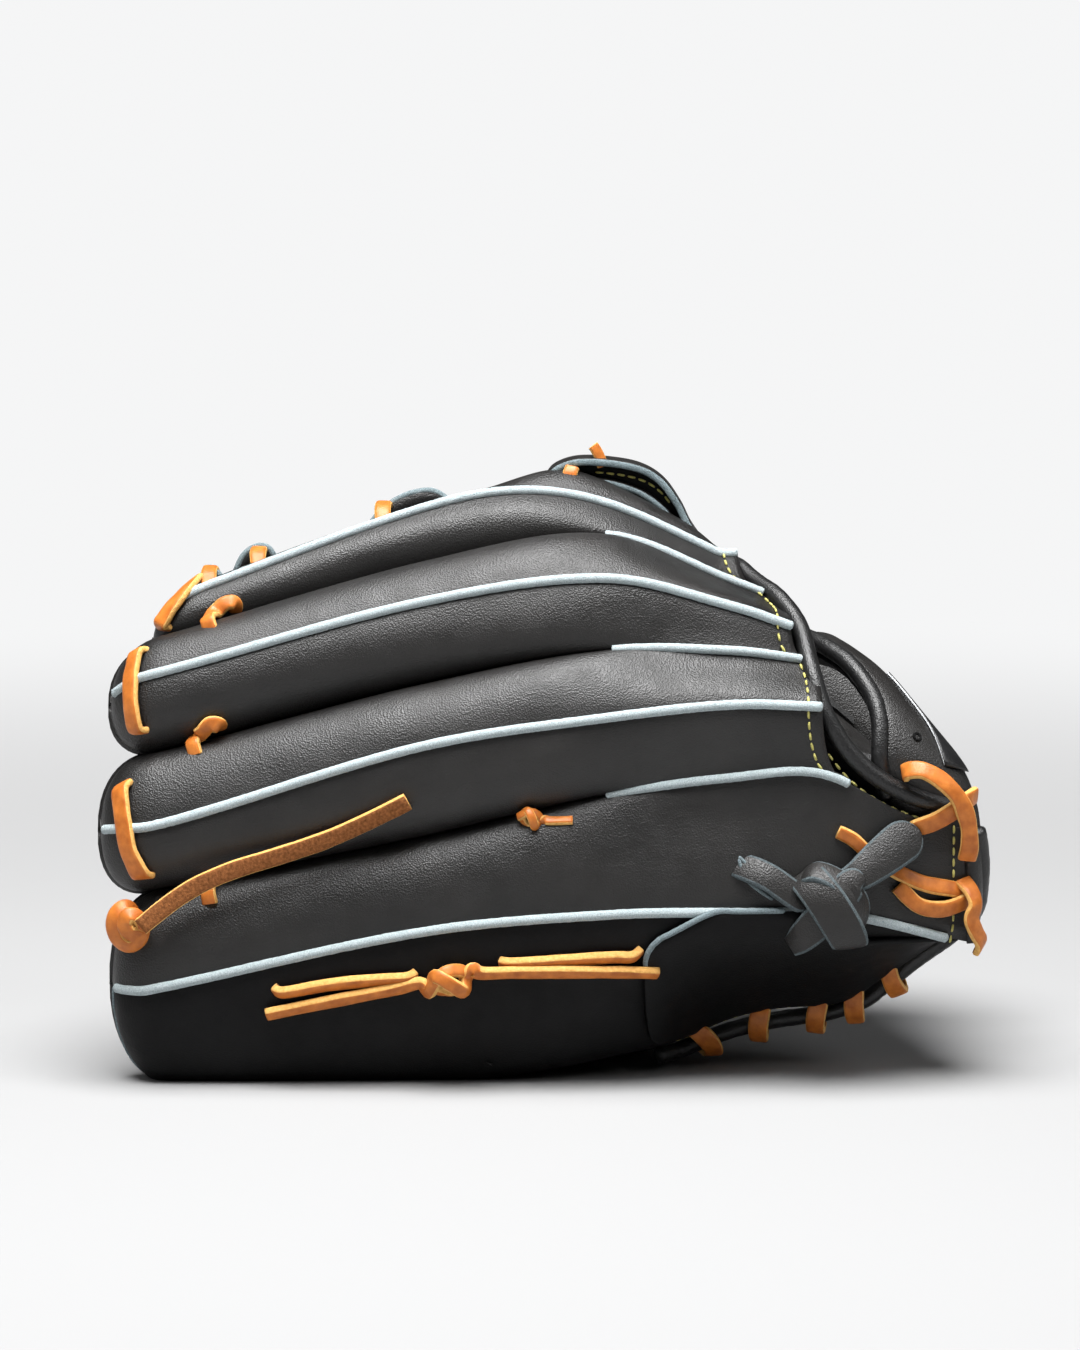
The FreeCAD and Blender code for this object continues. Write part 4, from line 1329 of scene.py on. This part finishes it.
def heel_loops():
    """Five laces that wrap the heel binding."""
    edge = catmull(HEEL_ROLL, 12)
    strips = []
    for x in (53, 72, 90.5, 102.7, 115):
        k = min(
            range(1, len(edge) - 1),
            key=lambda i: abs(edge[i].x - x) + (200 if edge[i].z > 45 else 0),
        )
        along = (edge[k + 1] - edge[k - 1]).normalized()
        up = squared(Vector((0, -0.35, 1)), along)
        out = along.cross(up).normalized()
        if out.y > 0:
            out = -out
        lean = 1 if x < 60 else -0.8
        points, normals = [], []
        for rise, push, shift, way_out, way_up in (
            (9.5, -1.0, -3.4, 1, 0.6), (9.0, 1.8, -3.0, 1, 0.9), (6.5, 4.2, -1.4, 1, 0.5),
            (3.0, 5.2, 0.4, 1, 0.15), (-0.5, 5.0, 1.4, 1, -0.2), (-3.4, 3.6, 1.6, 0.7, -0.7),
            (-4.8, 0.6, 1.2, 0.1, -1), (-4.2, -2.6, 0.4, -0.6, -0.8),
        ):
            points.append(edge[k] + up * rise + out * push + along * shift * lean)
            normals.append((out * way_out + up * way_up - along * 0.3).normalized())
        strips.append((points, normals))
    return ribbon_piece("heel_loops", strips, 6.2, 2.6)


loops = heel_loops()
attach(loops, "root", ("heel_lace",))

lower_lace = laid(
    "pinky", [(1, 112.0, 63), (1, 117.3, 66), (1, 123.9, 67), (1, 132.0, 66), (1, 136.2, 65)], 1.8,
    (0, -0.2, 0.6), 1.6
)
second_lace = laid(
    "pinky", [(1, 114.4, 73), (1, 120.6, 79), (1, 128.5, 78), (1, 135.5, 72), (1, 137.5, 70)], 2.8,
    (0, -0.2, -0.3), 1.6
)
heel_end = [
    (136.4, 18.5, 66.5), (139.0, 14.6, 63.5), (140.2, 13.0, 59.5), (139.0, 13.2, 55.0),
    (140.5, 14.5, 50.5), (142.4, 17.0, 46.5), (141.6, 20.5, 43.5),
]
heel_end_ways = [
    (0.2, -0.9, 0.6), (0.5, -0.9, 0.3), (0.7, -0.8, 0), (0.5, -1, 0), (0.7, -0.8, 0),
    (0.9, -0.6, -0.1), (1, -0.3, -0.3),
]
pulled = laid(
    "pinky", [(1, 95.0, 55), (1, 97.0, 55.5), (1, 100.4, 57), (1, 104.4, 61)], 1.6, (-0.2, 0, -0.3),
    0
)
heel_ties = ribbon_piece(
    "heel_end_laces",
    [lower_lace, second_lace, ([Vector(p) for p in heel_end], heel_end_ways), (*pulled, 4.6)],
    5.4, 2.4,
)
attach(heel_ties, "root", ())

ARCH = [
    (117, 14.5, 102.6), (118.6, 11.2, 104), (123, 9.8, 104), (129, 9.2, 100.6), (134.4, 10.2, 94.6),
    (137.4, 12, 87), (138.2, 14, 79), (137.6, 17.5, 74),
]
ARCH_WAYS = [
    (-0.4, -1, 0.3), (-0.2, -1, 0.6), (-0.1, -1, 0.8), (0.1, -1, 0.7), (0.2, -1, 0.4),
    (0.1, -1, 0.1), (0, -1, 0), (0, -0.8, -0.4),
]
LOW_TIE = [
    (120, 17, 84), (121.8, 13.6, 85), (127, 12.8, 87), (133, 13, 90.5), (137.5, 15, 93.5),
    (140, 19.5, 94.5),
]
LOW_WAYS = [
    (0, -1, -0.4), (0, -1, -0.4), (0, -1, -0.4), (0.1, -1, -0.3), (0.4, -1, -0.2),
    (0.8, -0.6, -0.2),
]
strap_ties = ribbon_piece("strap_laces", [(ARCH, ARCH_WAYS), (LOW_TIE, LOW_WAYS)], 6.0, 2.4)
blend_strap(strap_ties, ("strap_lace",))


# ---------------------------------------------------------------- free lace tail
TAIL_ROUTE = [
    (-130.5, 2.5, 54), (-119, 3.5, 64), (-103, 3.8, 72), (-84, 4.4, 77.5), (-64, 4.2, 84.5),
    (-44, 3.2, 95),
]


def tail_points():
    """The free lace's own smooth line: a NURBS spline along its route, in metres."""
    curve = bpy.data.curves.new("tail_route", "CURVE")
    curve.dimensions = "3D"
    curve.resolution_u = 16
    spline = curve.splines.new("NURBS")
    spline.points.add(len(TAIL_ROUTE) - 1)
    for spot, point in zip(spline.points, TAIL_ROUTE):
        spot.co = (*place(point), 1)
    spline.order_u = 3
    spline.use_endpoint_u = True
    thing = bpy.data.objects.new("tail_route", curve)
    bpy.context.scene.collection.objects.link(thing)
    bpy.context.view_layer.update()
    line = bpy.data.meshes.new_from_object(thing)
    points = [v.co.copy() for v in line.vertices]
    bpy.data.objects.remove(thing)
    bpy.data.meshes.remove(line)
    return points


tail_line = tail_points()
tail_mm = [p / MM - SHIFT for p in tail_line]
tail_facing = [Vector((0, -1, 0.1 - 0.45 * i / len(tail_mm))) for i in range(len(tail_mm))]
tail = ribbon_piece(
    "lace_tail", [(tail_mm, tail_facing)], LACE_WIDTH, 2.3, 1, 0.05, LACE_SIDES[::-1]
)
attach(tail, "root", ("tail_lace",))


# ---------------------------------------------------------------- little-finger strap
def tapered(name, points, normals, widths, thick):
    """A flat leather strip whose width changes along it, with a rounded far end."""
    path = catmull(points, 8)
    ways = catmull(normals, 8)
    halves = catmull([(w / 2, 0, 0) for w in widths], 8)
    rows = []
    for i, point in enumerate(path):
        along = run_at(path, i).normalized()
        up = squared(ways[i], along)
        side = along.cross(up)
        half = halves[i].x
        left = (path[-1] - point).length
        if left < half:
            half *= math.sqrt(max(0.02, 1 - (1 - left / half) ** 2))
        edge = min(0.8, half * 0.3)
        spots = (
            (-half, -thick * 0.35), (-half, thick * 0.35), (-half + edge, thick / 2),
            (0, thick * 0.56), (half - edge, thick / 2),
            (half, thick * 0.35), (half, -thick * 0.35), (half - edge, -thick / 2), (0, -thick / 2),
            (-half + edge, -thick / 2),
        )
        rows.append([point + side * a + up * b for a, b in spots])
    return capped(name, rows, [LEATHER, EDGE_DIM], lambda k: 1 if k in (0, 1, 4, 5, 6, 9) else 0)


SLIT_WAY = surface("pinky", 1, 62.5, 72)[1]


def over_slit(stops):
    """Points off the leather round the strap's slit: stops of (x, phi, lift)."""
    return [surface("pinky", 1, x, phi)[0] + SLIT_WAY * lift for x, phi, lift in stops]


BAND = over_slit([(62.5, 72, -1.5), (67, 74, 1.2), (73, 78, 3.0), (80, 84, 3.5), (86, 88, 3.0)])
BAND_WAYS = [SLIT_WAY + Vector((0, 0, 0.3))] * 5
TAB = over_slit([(97, 78, 4.0), (102, 73, 5.6), (109, 61, 5.2), (115.5, 46, 4.4), (121.5, 30, 3.6)])
TAB_WAYS = [Vector((0.05, -1, 0.35))] * 5
KNOT_CENTRE = surface("pinky", 1, 91.8, 87)[0] + Vector((0, -4.2, -1.0))
# The knot's three turns, from its centre.
UNDER = [
    (-11.5, 3.2, -12.5), (-8.0, -0.6, -9.0), (-2.5, -2.4, -3.0), (3.5, -3.2, 4.0), (8.0, -1.6, 9.0),
    (11.5, -0.6, 9.5),
]
UNDER_WAYS = [
    (-0.4, -1, 0.1), (-0.3, -1, 0.1), (0, -1, 0), (0.2, -1, 0.2), (0.1, -1, 0.4), (0.1, -1, 0.4),
]
OVER = [
    (-7.5, 3.5, 10.5), (-5.0, -2.2, 8.5), (-0.5, -5.2, 3.0), (4.2, -5.4, -4.5), (7.2, -2.6, -10.5),
    (7.0, 2.2, -12.0),
]
OVER_WAYS = [
    (-0.6, -0.2, 1), (-0.5, -0.9, 0.8), (-0.2, -1, 0.3), (0, -1, -0.1), (0.1, -0.9, -0.6),
    (0.2, 0, -1),
]
BACK = [
    (9.5, 2.0, -8.0), (10.0, -1.5, -2.0), (8.5, -2.6, 4.0), (3.0, -2.0, 9.5), (-4.0, 0.0, 12.0),
    (-8.5, 3.0, 9.0),
]
BACK_WAYS = [
    (1, -0.4, -0.4), (0.8, -0.8, 0), (0.6, -0.9, 0.4), (0.2, -0.7, 0.9), (-0.3, -0.5, 1),
    (-0.8, -0.2, 0.7),
]
for part, route, ways, widths, thick, nodes, slot in (
    ("band", BAND, BAND_WAYS, (8, 9, 9, 9, 9), 2.4, ("pinky_strap",), "leather"),
    ("tab", TAB, TAB_WAYS, (8, 10.5, 13, 14, 14), 2.6, (), "leather"),
    ("fold", on_row(UNDER, KNOT_CENTRE), UNDER_WAYS, (7.5, 10, 11.5, 11.5, 10, 8), 2.6, (), None),
    (
        "wrap", on_row(OVER, KNOT_CENTRE), OVER_WAYS, (12, 12.5, 13, 13, 12, 10), 2.8,
        ("pinky_strap_knot",), "leather"
    ),
    ("turn", on_row(BACK, KNOT_CENTRE), BACK_WAYS, (8, 9, 9, 9, 9, 8), 2.6, (), None),
):
    attach(tapered("pinky_strap_" + part, route, ways, widths, thick), "root", nodes)
for edge_name, stops in (
    ("strap_slit_edge", ((63, 68, 0.5), (66, 72, 0.5), (70, 75.5, 0.5), (75, 80, 0.5))),
    ("strap_slit_lower_edge", ((63, 69, 0.5), (65, 77, 0.5), (69, 82, 0.5), (74, 86, 0.5))),
):
    attach(tube_piece(edge_name, over_slit(stops), 0.6, EDGE_PALE, 6, 8, 0.1), "root")


# ---------------------------------------------------------------- stitching
STITCH_INSET = 4.6          # from the stalls' ends, mm


def on_skin(stall, side, x, phi):
    """A point just above a stall's leather."""
    point, way = surface(stall, side, x, phi)
    return point + way * 0.35


def stitch_runs():
    """Pale thread along the back opening and the heel."""
    runs = []
    for stall, sides in (("index", (-1,)), ("middle", (1, -1)), ("ring", (1, -1))):
        for side in sides:
            phis = spread(84, 6, 12) if side < 0 else spread(6, 84, 12)
            line = [
                on_skin(stall, side, line_end(stall, side, phi) - STITCH_INSET, phi) for phi in phis
            ]
            runs.append((line, (-0.25, -1, 0.5)))
    opening = catmull(BACK_BINDING, 8)
    runs.append(([p + Vector((-2.6, -1.9, -4.6)) for p in opening[50:88]], (-0.1, -1, 0.3)))
    heel = [on_skin("pinky", -1, x, 14) for x in spread(44, 122, 30)]
    heel += [on_skin("pinky", -1, 125 + 7 * t, 14 + 34 * t) for t in spread(0.15, 1, 8)]
    heel += [on_skin("pinky", -1, 132.5, phi) for phi in spread(52, 86, 6)]
    heel += [on_skin("pinky", 1, 133.2, phi) for phi in spread(84, 14, 12)]
    runs.append((heel, (0.2, -1, -0.2)))
    return runs


attach(stitch_piece("binding_stitches", stitch_runs()), "root")
loop_line = [Vector((p.x, 76.9, p.z - 3.8)) for p in catmull(WEB_LOOP, 8)[22:44]]
attach(stitch_piece("web_loop_stitches", [(loop_line, (0, -1, 0))]), "root")


# ---------------------------------------------------------------- hidden pieces
FINISHES = {
    "palm_pad": FELT, "thumb_pad": FELT, "pinky_heel_pad": LINING, "thumb_heel_pad": LINING,
    "palm_lining": LINING, "thumb_stay": STIFFENER,
    "pinky_inner_loop": LEATHER, "thumb_inner_loop": LEATHER,
}
stay_rows = []
for x in spread(-95, 8, 24):
    stay_rows.append([surface("pinky", -1, x, phi, -4.6)[0] for phi in spread(24, 70, 12)])
attach(sheet_piece("pinky_stay_sheet", stay_rows, STIFFENER, 1.2), "root", ("pinky_stay",))

for node_name, finish in FINISHES.items():
    node_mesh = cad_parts[node_name].data
    node_mesh.materials.clear()
    node_mesh.materials.append(finish)


# ---------------------------------------------------------------- floor, light
PALE = (0.915, 0.918, 0.922)
NEAR_FLOOR = 0.25           # lit floor inside this distance, m
FAR_FLOOR = 1.1             # plain pale surround beyond this one, m
FLOOR_HALF = 40.0
FLOOR_LEVEL = -0.0003


def add_stage():
    """A pale seamless floor, a soft light overhead and a pale surround."""
    material, shader = new_material("backdrop_paper", (0.34, 0.34, 0.342), 0.9)
    shader.inputs["Specular IOR Level"].default_value = 0.1
    tree = material.node_tree
    where = add_node(tree, "ShaderNodeTexCoord").outputs["Object"]
    far_off = tree.nodes.new("ShaderNodeVectorMath")
    far_off.operation = "LENGTH"
    tree.links.new(where, far_off.inputs[0])
    span = span_node(tree, far_off.outputs["Value"], NEAR_FLOOR, FAR_FLOOR, 0.0, 1.0)
    span.interpolation_type = "SMOOTHSTEP"
    glow = add_node(tree, "ShaderNodeEmission", (("Color", (*PALE, 1)),))
    wires = (
        (0, span.outputs["Result"]), (1, shader.outputs["BSDF"]), (2, glow.outputs["Emission"])
    )
    mix = add_node(tree, "ShaderNodeMixShader", (), wires)
    tree.links.new(mix.outputs["Shader"], tree.nodes["Material Output"].inputs["Surface"])
    mesh = bpy.data.meshes.new("backdrop")
    far = FLOOR_HALF
    corners = [(-far, -far), (far, -far), (far, far), (-far, far)]
    mesh.from_pydata([(x, y, FLOOR_LEVEL) for x, y in corners], [], [(0, 1, 2, 3)])
    mesh.materials.append(material)
    backdrop = bpy.data.objects.new("backdrop", mesh)
    bpy.context.scene.collection.objects.link(backdrop)
    lamps = (
        ("overhead", (-0.1, -0.35, 1.6), (0, -0.02, 0.05), 1.3, 78.0),
        ("front_left", (-1.3, -1.3, 1.5), (0, 0, 0.1), 1.2, 6.0),
        ("right_side", (1.5, -0.6, 1.2), (0, 0, 0.1), 1.0, 7.0),
    )
    for name, spot, target, size, watts in lamps:
        light = bpy.data.lights.new(name, "AREA")
        light.shape = "DISK"
        light.size = size
        light.energy = watts
        lamp = bpy.data.objects.new(name, light)
        lamp.location = spot
        lamp.rotation_euler = (Vector(target) - Vector(spot)).to_track_quat("-Z", "Y").to_euler()
        bpy.context.scene.collection.objects.link(lamp)
    world = bpy.data.worlds.new("studio")
    world.use_nodes = True
    tree = world.node_tree
    lit = tree.nodes["Background"]
    where = add_node(tree, "ShaderNodeTexCoord").outputs["Generated"]
    parts = add_node(tree, "ShaderNodeSeparateXYZ", (), (("Vector", where),))
    span = span_node(tree, parts.outputs["Y"], -0.7, 0.5, 0.05, 0.9)
    tree.links.new(span.outputs["Result"], lit.inputs["Strength"])
    seen = add_node(tree, "ShaderNodeBackground", (("Color", (*PALE, 1)),))
    seen_directly = add_node(tree, "ShaderNodeLightPath").outputs["Is Camera Ray"]
    wires = ((0, seen_directly), (1, lit.outputs["Background"]), (2, seen.outputs["Background"]))
    pick = add_node(tree, "ShaderNodeMixShader", (), wires)
    tree.links.new(pick.outputs["Shader"], tree.nodes["World Output"].inputs["Surface"])
    bpy.context.scene.world = world
    bpy.context.scene.view_settings.view_transform = "Standard"


add_stage()
